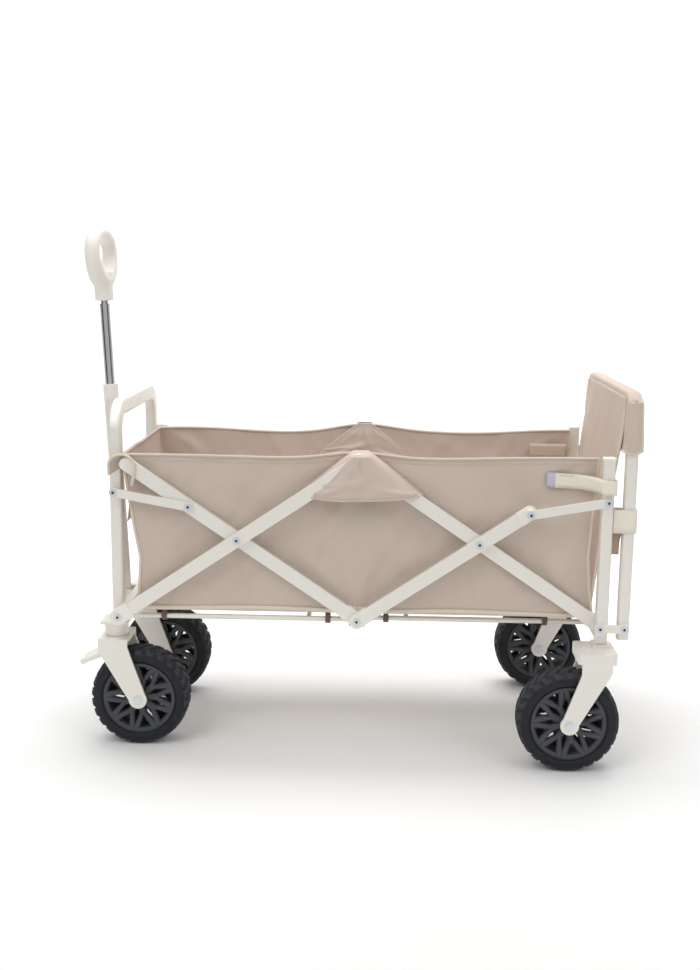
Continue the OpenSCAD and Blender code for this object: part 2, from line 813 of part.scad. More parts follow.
front_frame();
caster_plates();
front_rivets();
bars_a();
ends_a();
rivets_a();
bars_b();
ends_b();
bars_c();
ends_c();
rear_rivets();
bars_d();
ends_d();
rivets_d();
front_links();
front_link_rivets();
rear_links();
rear_link_rivets();
front_rails();
rear_rails();
rail_sleeves();
rail_plugs();
rear_frame();
post_caps();
rear_forks();
rear_axles();
gate_brackets();
bracket_rivets();
caster_fork_near();
caster_fork_far();
caster_axle_near();
caster_axle_far();
pedal_near();
pedal_far();
pedal_pin_near();
pedal_pin_far();
tyre_front_near();
tyre_front_far();
tyre_rear_near();
tyre_rear_far();
rim_front_near();
rim_front_far();
rim_rear_near();
rim_rear_far();
handle_bracket();
handle_tube();
handle_collar();
chrome_tube();
inner_tube();
grip();
gate_frame();
gate_panel();
strap_loops();
side_straps();
walls_front();
walls_rear();
end_wall();
floor_front();
floor_rear();
top_pockets();
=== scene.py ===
import json
import math

import bmesh
import bpy
import numpy as np
from mathutils import Matrix, Vector


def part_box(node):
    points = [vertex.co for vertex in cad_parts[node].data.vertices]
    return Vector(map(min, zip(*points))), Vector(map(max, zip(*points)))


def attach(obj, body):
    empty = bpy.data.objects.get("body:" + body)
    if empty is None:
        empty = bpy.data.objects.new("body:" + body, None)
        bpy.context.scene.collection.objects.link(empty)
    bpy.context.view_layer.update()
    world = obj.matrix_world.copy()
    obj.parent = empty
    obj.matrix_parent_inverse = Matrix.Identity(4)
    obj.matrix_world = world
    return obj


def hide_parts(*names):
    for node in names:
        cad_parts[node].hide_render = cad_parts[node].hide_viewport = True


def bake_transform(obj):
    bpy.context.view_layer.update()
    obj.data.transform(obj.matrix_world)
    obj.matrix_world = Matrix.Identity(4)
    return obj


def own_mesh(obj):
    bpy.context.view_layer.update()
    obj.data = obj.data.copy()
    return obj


bl_info = {
    "name": "Folding Wagon",
    "version": (1, 0, 0),
    "blender": (4, 5, 0),
    "location": "View3D > Sidebar > Wagon",
    "description": "Dresses the frame of a folding wagon with its basket, wheels, grip and finishes",
    "category": "Add Mesh",
}

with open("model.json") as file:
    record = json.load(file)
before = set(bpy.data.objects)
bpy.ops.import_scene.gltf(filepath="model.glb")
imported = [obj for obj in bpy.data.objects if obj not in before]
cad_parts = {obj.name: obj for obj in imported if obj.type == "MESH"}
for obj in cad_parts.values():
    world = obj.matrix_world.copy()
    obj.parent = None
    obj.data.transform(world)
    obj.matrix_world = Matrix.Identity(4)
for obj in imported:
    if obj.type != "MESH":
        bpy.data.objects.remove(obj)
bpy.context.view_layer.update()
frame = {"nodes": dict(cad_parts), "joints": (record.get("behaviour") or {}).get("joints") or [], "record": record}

# Places that come from the frame
WALL_LOW, WALL_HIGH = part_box("walls_front")
REAR_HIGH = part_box("walls_rear")[1]
GATE_LOW, GATE_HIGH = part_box("gate_frame")
BAR_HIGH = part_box("bars_a")[1]
MID_X = WALL_HIGH.x
HALF_Y = WALL_HIGH.y
FLOOR_Z = WALL_LOW.z
RIM_Z = 0.533
JOINTS = {j["name"]: j for j in frame["joints"]}
FRONT_PIVOT = Vector(JOINTS["fold"]["pos_m"])
REAR_PIVOT = Vector(JOINTS["rear_post"]["pos_m"])
WHEELS = {
    name: Vector(JOINTS[f"wheel_{name}_spin"]["pos_m"])
    for name in ("front_near", "front_far", "rear_near", "rear_far")
}
SIDES = {"near": -1, "far": 1}


# ---------------------------------------------------------------- mesh tools


class Shape:
    """Gathers grids of points into one mesh, with a UV map in metres along each grid."""

    def __init__(self):
        self.points, self.faces, self.uvs, self.count = [], [], [], 0

    def grid(self, p, wrap=False, ring=False, caps=False):
        """Adds rows of points (rows, columns, 3). wrap joins the last column to the first, ring the last
        row to the first, and caps closes the first and last row of a wrapped grid with a face each."""
        rows, cols = p.shape[:2]
        index = np.arange(rows * cols).reshape(rows, cols) + self.count
        a = np.vstack([index, index[:1]]) if ring else index
        a = np.hstack([a, a[:, :1]]) if wrap else a
        quads = np.stack([a[:-1, :-1], a[:-1, 1:], a[1:, 1:], a[1:, :-1]], -1).reshape(-1, 4)
        self.faces += quads.tolist()
        if caps:
            self.faces += [index[0, ::-1].tolist(), index[-1].tolist()]
        across = np.linalg.norm(np.diff(p, axis=1, prepend=p[:, :1]), axis=2).cumsum(1)
        along = np.linalg.norm(np.diff(p, axis=0, prepend=p[:1]), axis=2).cumsum(0)
        self.points.append(p.reshape(-1, 3))
        self.uvs.append(np.stack([across, along], -1).reshape(-1, 2))
        self.count += rows * cols
        return self

    def rope(self, path, radius, sides=8, **section):
        """Adds a closed tube along a path."""
        return self.grid(tube(path, radius, sides, **section), wrap=True, caps=True)

    def piece(self, name, material, smooth=True, closed=False):
        """Makes the object. closed says that every grid is a closed surface, whose faces are turned outward."""
        mesh = bpy.data.meshes.new(name)
        mesh.from_pydata(np.vstack(self.points), [], self.faces)
        corner = np.zeros(len(mesh.loops), np.int32)
        mesh.loops.foreach_get("vertex_index", corner)
        layer = mesh.uv_layers.new(name="UVMap")
        layer.data.foreach_set("uv", np.vstack(self.uvs)[corner].astype(np.float32).ravel())
        mesh.polygons.foreach_set("use_smooth", np.full(len(mesh.polygons), smooth))
        if closed:
            turn_outward(mesh)
        mesh.materials.append(material)
        piece = bpy.data.objects.new(name, mesh)
        bpy.context.scene.collection.objects.link(piece)
        return piece


def turn_outward(mesh):
    """Points the faces of closed surfaces outward."""
    work = bmesh.new()
    work.from_mesh(mesh)
    bmesh.ops.recalc_face_normals(work, faces=work.faces)
    work.to_mesh(mesh)
    work.free()


def unit(v):
    return v / np.maximum(np.linalg.norm(v, axis=-1, keepdims=True), 1e-12)


def smoothstep(t):
    t = np.clip(t, 0, 1)
    return t * t * (3 - 2 * t)


def line(points, step=0.006):
    """Even points along a rounded line through a few corners: a Catmull-Rom curve through them."""
    p = np.asarray(points, float)
    ends = np.vstack([2 * p[0] - p[1], p, 2 * p[-1] - p[-2]])
    out = []
    for a, b, c, d in zip(ends, ends[1:], ends[2:], ends[3:]):
        t = np.linspace(0, 1, max(3, int(np.linalg.norm(c - b) / step)), endpoint=False)[:, None]
        out.append(
            0.5 * (2 * b + (c - a) * t + (2 * a - 5 * b + 4 * c - d) * t**2 + (3 * b - a - 3 * c + d) * t**3)
        )
    return np.vstack([*out, p[-1:]])


def tube(path, radius, sides=8, up=(0, 0, 1), flat=1.0, closed=False):
    """A round section carried along a path: at each point the ring is cos and sin of the angle times the
    radius, in the plane square to the path. flat squeezes the section along the second direction."""
    path = np.asarray(path, float)
    if closed:
        run = np.roll(path, -1, 0) - np.roll(path, 1, 0)
    else:
        run = np.gradient(path, axis=0)
    run = unit(run)
    first = unit(np.cross(run, np.asarray(up, float)))
    second = np.cross(run, first)
    angle = np.linspace(0, 2 * math.pi, sides, endpoint=False)
    size = np.broadcast_to(np.asarray(radius, float), (len(path),))[:, None, None]
    ring = first[:, None] * np.cos(angle)[None, :, None] + flat * second[:, None] * np.sin(angle)[None, :, None]
    return path[:, None] + size * ring


def strap(path, width, thick, across=(0, 0, 1)):
    """A flat band carried along a path: a rectangle of width by thick with its width along across."""
    path = np.asarray(path, float)
    run = unit(np.gradient(path, axis=0))
    side = unit(np.asarray(across, float) - run * (run @ np.asarray(across, float))[:, None])
    out = np.cross(run, side)
    corners = np.array([[-1, -1], [-0.5, -1.15], [0.5, -1.15], [1, -1], [1, 1], [0.5, 1.15], [-0.5, 1.15], [-1, 1]])
    return (
        path[:, None]
        + side[:, None] * corners[None, :, :1] * width / 2
        + out[:, None] * corners[None, :, 1:] * thick / 2
    )


def ripple(u, v, seed, amount, low=1.0, high=4.0, waves=9):
    """A soft random waviness: a sum of seeded sine waves in u and v, of amount at most."""
    rng = np.random.default_rng(seed)
    total = np.zeros(np.broadcast(u, v).shape)
    for _ in range(waves):
        ku, kv = rng.uniform(low, high, 2) * rng.choice([-1, 1], 2)
        total = total + rng.uniform(0.5, 1) * np.sin(math.pi * (ku * u + kv * v) + rng.uniform(0, 6.28))
    return amount * total / (0.5 * waves)


def crease(u, v, at, angle, reach, width, depth):
    """A fold that starts at a point and dies away: a narrow bell across its direction, fading along it."""
    du, dv = u - at[0], v - at[1]
    c, s = math.cos(angle), math.sin(angle)
    along, across = du * c + dv * s, -du * s + dv * c
    fade = np.where(along > 0, np.exp(-((along / reach) ** 2)), np.exp(-((along / (0.25 * reach)) ** 2)))
    return depth * fade * np.exp(-((across / (width * (0.35 + np.abs(along) / reach))) ** 2))


def run(points, name, material):
    """A closed piece from one grid of rings, such as a tube or a band."""
    return Shape().grid(points, wrap=True, caps=True).piece(name, finish(material), closed=True)


def thicken(piece, thick, offset=0.0):
    m = piece.modifiers.new("thickness", "SOLIDIFY")
    m.thickness, m.offset = thick, offset
    return piece


# ---------------------------------------------------------------- materials


class Nodes:
    """A short way to write a node material."""

    def __init__(self, name):
        self.material = bpy.data.materials.new(name)
        self.material.use_nodes = True
        self.tree = self.material.node_tree
        self.shader = self.tree.nodes["Principled BSDF"]
        self.where = self.tree.nodes.new("ShaderNodeTexCoord")

    def add(self, kind, inputs=(), **settings):
        node = self.tree.nodes.new(f"ShaderNode{kind}")
        for key, value in settings.items():
            setattr(node, key, value)
        for key, value in dict(inputs).items():
            if isinstance(value, bpy.types.NodeSocket):
                self.tree.links.new(value, node.inputs[key])
            else:
                node.inputs[key].default_value = value
        return node

    def noise(self, at, scale, detail=4.0, rough=0.5):
        return self.add("TexNoise", {"Vector": at, "Scale": scale, "Detail": detail, "Roughness": rough}).outputs["Fac"]

    def spread(self, value, low, high, to_low, to_high):
        pairs = {"Value": value, "From Min": low, "From Max": high, "To Min": to_low, "To Max": to_high}
        return self.add("MapRange", pairs).outputs["Result"]

    def math(self, operation, a, b=0.0):
        return self.add("Math", {0: a, 1: b}, operation=operation).outputs[0]

    def mix(self, share, a, b):
        return self.add("Mix", {0: share, 6: a, 7: b}, data_type="RGBA").outputs[2]

    def bump(self, height, strength, distance, under=None):
        pairs = {"Height": height, "Strength": strength, "Distance": distance}
        if under is not None:
            pairs["Normal"] = under
        return self.add("Bump", pairs).outputs["Normal"]

    def set(self, **values):
        names = {
            "colour": "Base Color",
            "rough": "Roughness",
            "metal": "Metallic",
            "normal": "Normal",
            "sheen": "Sheen Weight",
            "sheen_rough": "Sheen Roughness",
            "coat": "Coat Weight",
            "coat_rough": "Coat Roughness",
            "specular": "Specular IOR Level",
        }
        for key, value in values.items():
            socket = self.shader.inputs[names[key]]
            if isinstance(value, bpy.types.NodeSocket):
                self.tree.links.new(value, socket)
            else:
                socket.default_value = value
        return self.material


def rgba(colour, gain=1.0):
    return (*[c * gain for c in colour], 1.0)


def powder_coat(name, colour):
    """Satin powder coat: fine orange peel, faint cloudiness and slightly duller, warmer patches."""
    n = Nodes(name)
    at = n.where.outputs["Object"]
    clouds = n.noise(at, 9.0, 5.0)
    colour_out = n.mix(n.spread(clouds, 0.35, 0.7, 0.0, 0.7), rgba(colour), rgba(colour, 0.955))
    peel = n.bump(n.noise(at, 900.0, 2.0), 0.10, 0.0004)
    rough = n.spread(n.noise(at, 60.0), 0.3, 0.7, 0.32, 0.42)
    return n.set(colour=colour_out, rough=rough, normal=peel, coat=0.25, coat_rough=0.3)


def moulded_plastic(name, colour, rough_low=0.38, rough_high=0.5, grain=0.12):
    """Moulded plastic: fine spark texture, soft tone changes and duller rubbed patches."""
    n = Nodes(name)
    at = n.where.outputs["Object"]
    tone = n.mix(n.spread(n.noise(at, 14.0), 0.3, 0.75, 0.0, 1.0), rgba(colour), rgba(colour, 0.93))
    rough = n.spread(n.noise(at, 45.0), 0.3, 0.7, rough_low, rough_high)
    return n.set(colour=tone, rough=rough, normal=n.bump(n.noise(at, 1500.0, 2.0), grain, 0.0003))


def bright_metal(name, colour, rough, scratch=0.05):
    """Plated metal: clean reflections with faint drawn lines and a little haze."""
    n = Nodes(name)
    at = n.where.outputs["Object"]
    drawn = n.add("Mapping", {"Vector": at, "Scale": (1800.0, 1800.0, 30.0)}).outputs[0]
    haze = n.spread(n.noise(at, 70.0), 0.35, 0.7, rough, rough + 0.1)
    return n.set(colour=rgba(colour), metal=1.0, rough=haze, normal=n.bump(n.noise(drawn, 1.0, 2.0), scratch, 0.0002))


def woven_cloth(name, colour, thread=0.0009, depth=0.35, sheen=0.25):
    """Plain weave: two sets of waves at right angles in the piece's own UV map give the over and under of
    the threads, with slubs, cloudy shade changes and a soft sheen."""
    n = Nodes(name)
    uv = n.where.outputs["UV"]
    parts = n.add("SeparateXYZ", {0: uv}).outputs
    turn = 2 * math.pi / thread
    warp = n.math("SINE", n.math("MULTIPLY", parts[0], turn))
    weft = n.math("SINE", n.math("MULTIPLY", parts[1], turn))
    weave = n.spread(n.math("MULTIPLY", warp, weft), -1.0, 1.0, 0.0, 1.0)
    slub_at = n.add("Mapping", {"Vector": uv, "Scale": (60.0, 900.0, 1.0)}).outputs[0]
    slub = n.noise(slub_at, 1.0, 3.0)
    cloud = n.noise(n.where.outputs["Object"], 7.0, 4.0)
    base = n.mix(n.spread(cloud, 0.3, 0.7, 0.0, 1.0), rgba(colour, 1.03), rgba(colour, 0.94))
    threads = n.mix(n.spread(weave, 0.0, 1.0, 0.0, 0.35), base, rgba(colour, 0.80))
    slubbed = n.mix(n.spread(slub, 0.45, 0.8, 0.0, 0.35), threads, rgba(colour, 0.88))
    fine = n.bump(weave, depth, thread * 0.5)
    soft = n.bump(n.noise(n.where.outputs["Object"], 28.0, 4.0), 0.18, 0.004, fine)
    return n.set(
        colour=slubbed, rough=0.82, normal=soft, sheen=sheen, sheen_rough=0.45, specular=0.3
    )


def ribbed_webbing(name, colour, rib=0.0016):
    """Woven webbing: ribs across the band in the piece's own UV map, with a fine twill over them."""
    n = Nodes(name)
    parts = n.add("SeparateXYZ", {0: n.where.outputs["UV"]}).outputs
    ribs = n.math("SINE", n.math("MULTIPLY", parts[1], 2 * math.pi / rib))
    slant = n.math("ADD", n.math("MULTIPLY", parts[0], 4200.0), n.math("MULTIPLY", parts[1], 3100.0))
    twill = n.math("SINE", slant)
    height = n.spread(n.math("ADD", ribs, n.math("MULTIPLY", twill, 0.5)), -1.5, 1.5, 0.0, 1.0)
    # painted shade and highlight: the colour darkens in the low grooves and lightens on the raised ribs
    shade = n.mix(height, rgba(colour, 0.84), rgba(colour, 1.02))
    return n.set(colour=shade, rough=0.75, normal=n.bump(height, 0.5, 0.0006), sheen=0.15, specular=0.3)


def tyre_rubber(name, colour):
    """Matt rubber: mould grain, dusty lighter patches and worn high spots."""
    n = Nodes(name)
    at = n.where.outputs["Object"]
    dust = n.spread(n.noise(at, 35.0, 6.0), 0.5, 0.8, 0.0, 0.55)
    worn = n.mix(dust, rgba(colour), rgba([c * 1.5 + 0.0015 for c in colour]))
    rough = n.spread(n.noise(at, 80.0), 0.3, 0.7, 0.5, 0.68)
    return n.set(colour=worn, rough=rough, normal=n.bump(n.noise(at, 700.0, 3.0), 0.2, 0.0004), specular=0.4)


def pocket_mesh(name, colour, hole_shade):
    """Knitted mesh: round holes in a staggered pattern on the piece's own UV map, dark inside."""
    n = Nodes(name)
    cells = n.add("TexVoronoi", {"Vector": n.where.outputs["UV"], "Scale": 240.0, "Randomness": 0.15})
    hole = n.spread(cells.outputs["Distance"], 0.30, 0.40, 1.0, 0.0)
    # painted shade: the holes take a dark colour that stands for the shade behind the mesh
    return n.set(colour=n.mix(hole, rgba(colour), rgba(hole_shade)), rough=0.8, normal=n.bump(hole, 0.6, 0.0006))


# ---------------------------------------------------------------- settings


def colour_setting(name, description, value):
    return bpy.props.FloatVectorProperty(
        name=name, description=description, default=value, subtype="COLOR", size=3, min=0.0, max=1.0
    )


def length_setting(name, description, value, low, high):
    return bpy.props.FloatProperty(
        name=name, description=description, default=value, min=low, max=high, unit="LENGTH", subtype="DISTANCE"
    )


class WagonSizes(bpy.types.PropertyGroup):
    """Sizes of the soft parts and trim"""

    cloth: length_setting("Cloth", "Thickness of the basket's fabric", 0.0014, 0.0008, 0.003)
    piping: length_setting("Piping", "Radius of the piping on the seams", 0.0026, 0.001, 0.004)
    wrinkle: length_setting("Wrinkles", "Depth of the wrinkles in the side walls", 0.0060, 0.0, 0.006)
    webbing: length_setting("Webbing", "Thickness of the straps", 0.0022, 0.001, 0.004)
    stitch: length_setting("Stitch", "Length of one stitch", 0.0032, 0.002, 0.006)
    tread: length_setting("Tread", "Depth of the tyre tread", 0.0052, 0.001, 0.007)


class WagonColours(bpy.types.PropertyGroup):
    """Colours of the finishes"""

    ivory: colour_setting("Ivory coat", "Powder coat of the frame", (0.82, 0.81, 0.775))
    plastic: colour_setting("Ivory plastic", "Moulded ends, forks and grip", (0.84, 0.815, 0.76))
    cloth: colour_setting("Cloth", "Basket fabric", (0.66, 0.55, 0.49))
    piping: colour_setting("Piping", "Piping on the basket's seams", (0.80, 0.70, 0.575))
    webbing: colour_setting("Webbing", "Straps and loops", (0.86, 0.79, 0.66))
    rubber: colour_setting("Rubber", "Tread of the tyres", (0.008, 0.0083, 0.010))
    sidewall: colour_setting("Sidewall", "Ring on the side of the tyres", (0.007, 0.008, 0.014))
    rim: colour_setting("Rim", "Spokes and hubs", (0.008, 0.0082, 0.010))


def sizes():
    return bpy.context.scene.wagon_sizes


def finish(name):
    """The named material, made once from the colour settings."""
    if name in bpy.data.materials:
        return bpy.data.materials[name]
    c = bpy.context.scene.wagon_colours
    makers = {
        "ivory_coat": lambda: powder_coat(name, c.ivory),
        "ivory_plastic": lambda: moulded_plastic(name, c.plastic),
        "zinc_rivet": lambda: bright_metal(name, (0.24, 0.27, 0.32), 0.26),
        "chrome": lambda: bright_metal(name, (0.80, 0.81, 0.83), 0.05, 0.02),
        "tyre_rubber": lambda: tyre_rubber(name, c.rubber),
        "tyre_sidewall": lambda: tyre_rubber(name, c.sidewall),
        "rim_plastic": lambda: moulded_plastic(name, c.rim, 0.34, 0.5, 0.2),
        "black_plastic": lambda: moulded_plastic(name, (0.02, 0.02, 0.02)),
        "taupe_cloth": lambda: woven_cloth(name, c.cloth),
        "cream_piping": lambda: woven_cloth(name, c.piping, 0.0007, 0.4),
        "cream_webbing": lambda: ribbed_webbing(name, c.webbing),
        "tan_webbing": lambda: ribbed_webbing(name, (0.52, 0.40, 0.29)),
        "brown_webbing": lambda: ribbed_webbing(name, (0.16, 0.11, 0.08)),
        "hook_patch": lambda: woven_cloth(name, (0.72, 0.68, 0.82), 0.0012, 0.8, 0.5),
        "thread": lambda: woven_cloth(name, (0.72, 0.62, 0.52), 0.0006, 0.3),
        # the mesh pocket's second colour is painted shade in its holes
        "mesh_pocket": lambda: pocket_mesh(name, (0.74, 0.71, 0.76), (0.22, 0.18, 0.16)),
    }
    return makers[name]()


# ---------------------------------------------------------------- which bar the soft pieces ride on


def fold_front(piece):
    """The front half of the basket bunches along bar A as the wagon folds."""
    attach(piece, "scissor_a")
    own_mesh(piece)


def fold_rear(piece):
    """The rear half of the basket bunches along bar C."""
    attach(piece, "scissor_c")
    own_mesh(piece)


FOLDS = {"front": fold_front, "rear": fold_rear}


def dress(piece, slot, *nodes):
    """Names the material slot of a new piece and the frame nodes that it stands for."""
    if nodes:
        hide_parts(*nodes)
    return piece


# ---------------------------------------------------------------- basket

# Heights and places of the corner edges
FRONT_EDGE = (
    [0.258, 0.30, 0.348, 0.40, 0.46, 0.50, 0.54],
    [-0.3720, -0.3700, -0.3670, -0.3765, -0.3855, -0.3910, -0.3935],
)
REAR_EDGE = ([0.258, 0.30, 0.362, 0.44, 0.54], [0.4205, 0.4150, 0.4100, 0.4150, 0.4215])


def front_edge(z):
    """Where the basket's front corner stands at a height."""
    return np.interp(z, *FRONT_EDGE)


def rear_edge(z):
    return np.interp(z, *REAR_EDGE)


def rim_height(x, side):
    """Height of the rim: a low peak over the top pivots, with the far side hanging in a gentle wave."""
    peak = 0.012 * np.exp(-(((x - MID_X) / 0.075) ** 2))
    slope = 0.005 * smoothstep((x - MID_X) / 0.4)
    wave = 0.003 * np.sin((x - MID_X) * 17.0 + 1.0) if side > 0 else -0.0015 * np.cos((x - MID_X) * 9.0)
    return RIM_Z + peak + slope + wave


def hem_height(x):
    """Height of the wall's lower edge: tied down near the ends and the middle, lifted a little between."""
    share = np.abs(x - MID_X) / (MID_X - WALL_LOW.x)
    return FLOOR_Z + 0.004 + 0.006 * np.sin(math.pi * share) ** 2 * (1 - share) + 0.005 * np.exp(-((share / 0.07) ** 2))


def wall_points(half, side, across=110, up=76):
    """A side wall: x runs from the corner edge to the middle, z from hem to rim, and y is the basket's half
    width pulled in by a shallow bag, soft waviness and a few folds."""
    u, v = np.meshgrid(np.linspace(0, 1, across), np.linspace(0, 1, up))
    edge = front_edge if half == "front" else rear_edge
    z_mid = FLOOR_Z + v * (RIM_Z - FLOOR_Z)
    x = edge(z_mid) * (1 - u) + MID_X * u
    z = hem_height(x) * (1 - v) + rim_height(x, side) * v
    seed = {"front": 11, "rear": 23}[half] + (40 if side > 0 else 0)
    w = sizes().wrinkle
    hold = np.sin(math.pi * np.clip(v, 0, 1)) ** 0.5 * smoothstep(u * 9) * smoothstep((1 - u) * 16)
    bag = 0.0045 * np.sin(math.pi * u) * np.sin(math.pi * v)
    waves = (
        ripple(u * 2.0, v * 1.3, seed, w)
        + ripple(u * 5, v * 2.2, seed + 1, 0.45 * w)
        + ripple(u * 11, v * 5, seed + 2, 0.10 * w)
    )
    folds = (
        crease(u, v, (1.0, 0.0), 2.35, 0.55, 0.055, 1.6 * w)
        + crease(u, v, (1.0, 0.02), 2.0, 0.45, 0.05, 1.2 * w)
        + crease(u, v, (0.97, 0.95), -2.5, 0.35, 0.05, 1.1 * w)
        + crease(u, v, (0.05, 0.97), -0.7, 0.30, 0.05, 0.9 * w)
        + crease(u, v, (0.06, 0.05), 0.9, 0.30, 0.05, 1.0 * w)
        + crease(u, v, (0.5, 0.02), 1.7, 0.35, 0.04, 0.8 * w)
    )
    inward = bag + hold * (np.maximum(waves, -0.4 * w) + folds)
    y = side * (HALF_Y - 0.0012 - np.maximum(inward, -0.001))
    return np.stack([x, y, z], -1)


def make_side_walls():
    """The four halves of the two side walls, each with its hem, rim and corner piping."""
    for half, fold in FOLDS.items():
        nodes = [f"walls_{half}"]
        for where, side in SIDES.items():
            p = wall_points(half, side)
            wall = thicken(Shape().grid(p).piece(f"side_wall_{half}_{where}", finish("taupe_cloth")), sizes().cloth)
            wall.modifiers["thickness"].use_rim = False
            dress(wall, "taupe_cloth", *nodes)
            fold(wall)
            trim = Shape()
            out = np.array([0, side * sizes().cloth, 0])
            trim.rope(p[0] + out * 1.5, sizes().piping * 1.5, 8, flat=0.45, up=(0, 1, 0))
            trim.rope(p[:, 0] + out, sizes().piping, 8, up=(0, 1, 0))
            edging = trim.piece(f"wall_piping_{half}_{where}", finish("cream_piping"), closed=True)
            dress(edging, "cream_webbing")
            fold(edging)
            rolled = tube(p[-1] - [0, 0, 0.001], 0.0028, 8, flat=1.3, up=(0, 1, 0))
            rim = run(rolled, f"rim_hem_{half}_{where}", "taupe_cloth")
            fold(dress(rim, "taupe_cloth"))
            seam = stitches(p[-4] + out * 0.8, f"rim_stitch_{half}_{where}")
            fold(seam)


def stitches(path, name, across=0.0007):
    """A row of stitches: short spindles along a path, each a six-sided tube with pointed ends."""
    path = np.asarray(path, float)
    run = np.concatenate([[0], np.linalg.norm(np.diff(path, axis=0), axis=1).cumsum()])
    step = sizes().stitch * 1.35
    starts = np.arange(step, run[-1] - step, step)
    reach = np.array([0.0, 0.2, 0.8, 1.0]) * sizes().stitch
    at = starts[:, None] + reach[None]
    centre = np.stack([np.interp(at, run, path[:, k]) for k in range(3)], -1)
    way = unit(centre[:, -1] - centre[:, 0])
    first = unit(np.cross(way, [0.13, 0.2, 1.0]))
    second = np.cross(way, first)
    angle = np.linspace(0, 2 * math.pi, 5, endpoint=False)
    ring = first[:, None] * np.cos(angle)[None, :, None] + second[:, None] * np.sin(angle)[None, :, None]
    size = across * np.array([0.25, 1.0, 1.0, 0.25])
    points = centre[:, :, None] + ring[:, None] * size[None, :, None, None]
    shape = Shape()
    for one in points:
        shape.grid(one, wrap=True, caps=True)
    return dress(shape.piece(name, finish("thread"), closed=True), "cream_webbing")


def make_end_wall():
    """The front end wall: y runs across, z up, and x bows out from the corner edges towards the front
    frame. A knitted pocket, its binding and a blank tag hang on its outside."""
    v, u = np.meshgrid(np.linspace(0, 1, 60), np.linspace(-1, 1, 90), indexing="ij")
    z = FLOOR_Z + 0.004 + v * (RIM_Z + 0.001 - FLOOR_Z - 0.004)
    bow = 0.009 * (1 - u**2) * np.sin(math.pi * np.clip(v, 0, 1)) ** 0.6
    x = front_edge(z) - bow + ripple(u, v * 1.5, 71, 0.0016)
    x = np.maximum(x, WALL_LOW.x - 0.001)
    p = np.stack([x, u * (HALF_Y - 0.0015), z], -1)
    wall = thicken(Shape().grid(p).piece("end_wall_cloth", finish("taupe_cloth")), sizes().cloth)
    dress(wall, "taupe_cloth", "end_wall")
    pocket_v = (v >= 0.28) & (v <= 0.58)
    rows = np.nonzero(pocket_v[:, 0])[0]
    q = p[rows][:, 12:78] - [0.0035, 0, 0]
    q[..., 0] -= 0.003 * np.sin(np.linspace(0, math.pi, q.shape[1]))[None] * np.linspace(0.4, 1, len(rows))[:, None]
    pocket = thicken(Shape().grid(q).piece("mesh_pocket", finish("mesh_pocket")), 0.0008)
    binding = Shape()
    for path in (q[-1], q[:, 0], q[:, -1], q[0]):
        binding.rope(path, 0.0016, 6, up=(1, 0, 0))
    bound = binding.piece("mesh_pocket_binding", finish("taupe_cloth"), closed=True)
    rim = Shape().rope(p[-1], 0.0028, 8, flat=1.2)
    hem = rim.piece("end_wall_hem", finish("taupe_cloth"), closed=True)
    low = Shape().rope(p[0], sizes().piping, 8)
    piping = low.piece("end_wall_piping", finish("cream_piping"), closed=True)
    tag_v, tag_u = np.meshgrid(np.linspace(0, 1, 10), np.linspace(-1, 1, 10), indexing="ij")
    tag_x = front_edge(0.43) - 0.013 - 0.004 * tag_v**2
    tag = np.stack([tag_x, -0.115 + 0.017 * tag_u, 0.437 - 0.03 * tag_v], -1)
    label = thicken(Shape().grid(tag).piece("blank_tag", finish("cream_webbing")), 0.0008)
    for piece, slot in (
        (pocket, "taupe_cloth"), (bound, "taupe_cloth"), (hem, "taupe_cloth"),
        (piping, "cream_webbing"), (label, "cream_webbing"),
    ):
        dress(piece, slot)
    for piece in (wall, pocket, bound, hem, piping, label):
        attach(piece, "front_frame")
        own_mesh(piece)


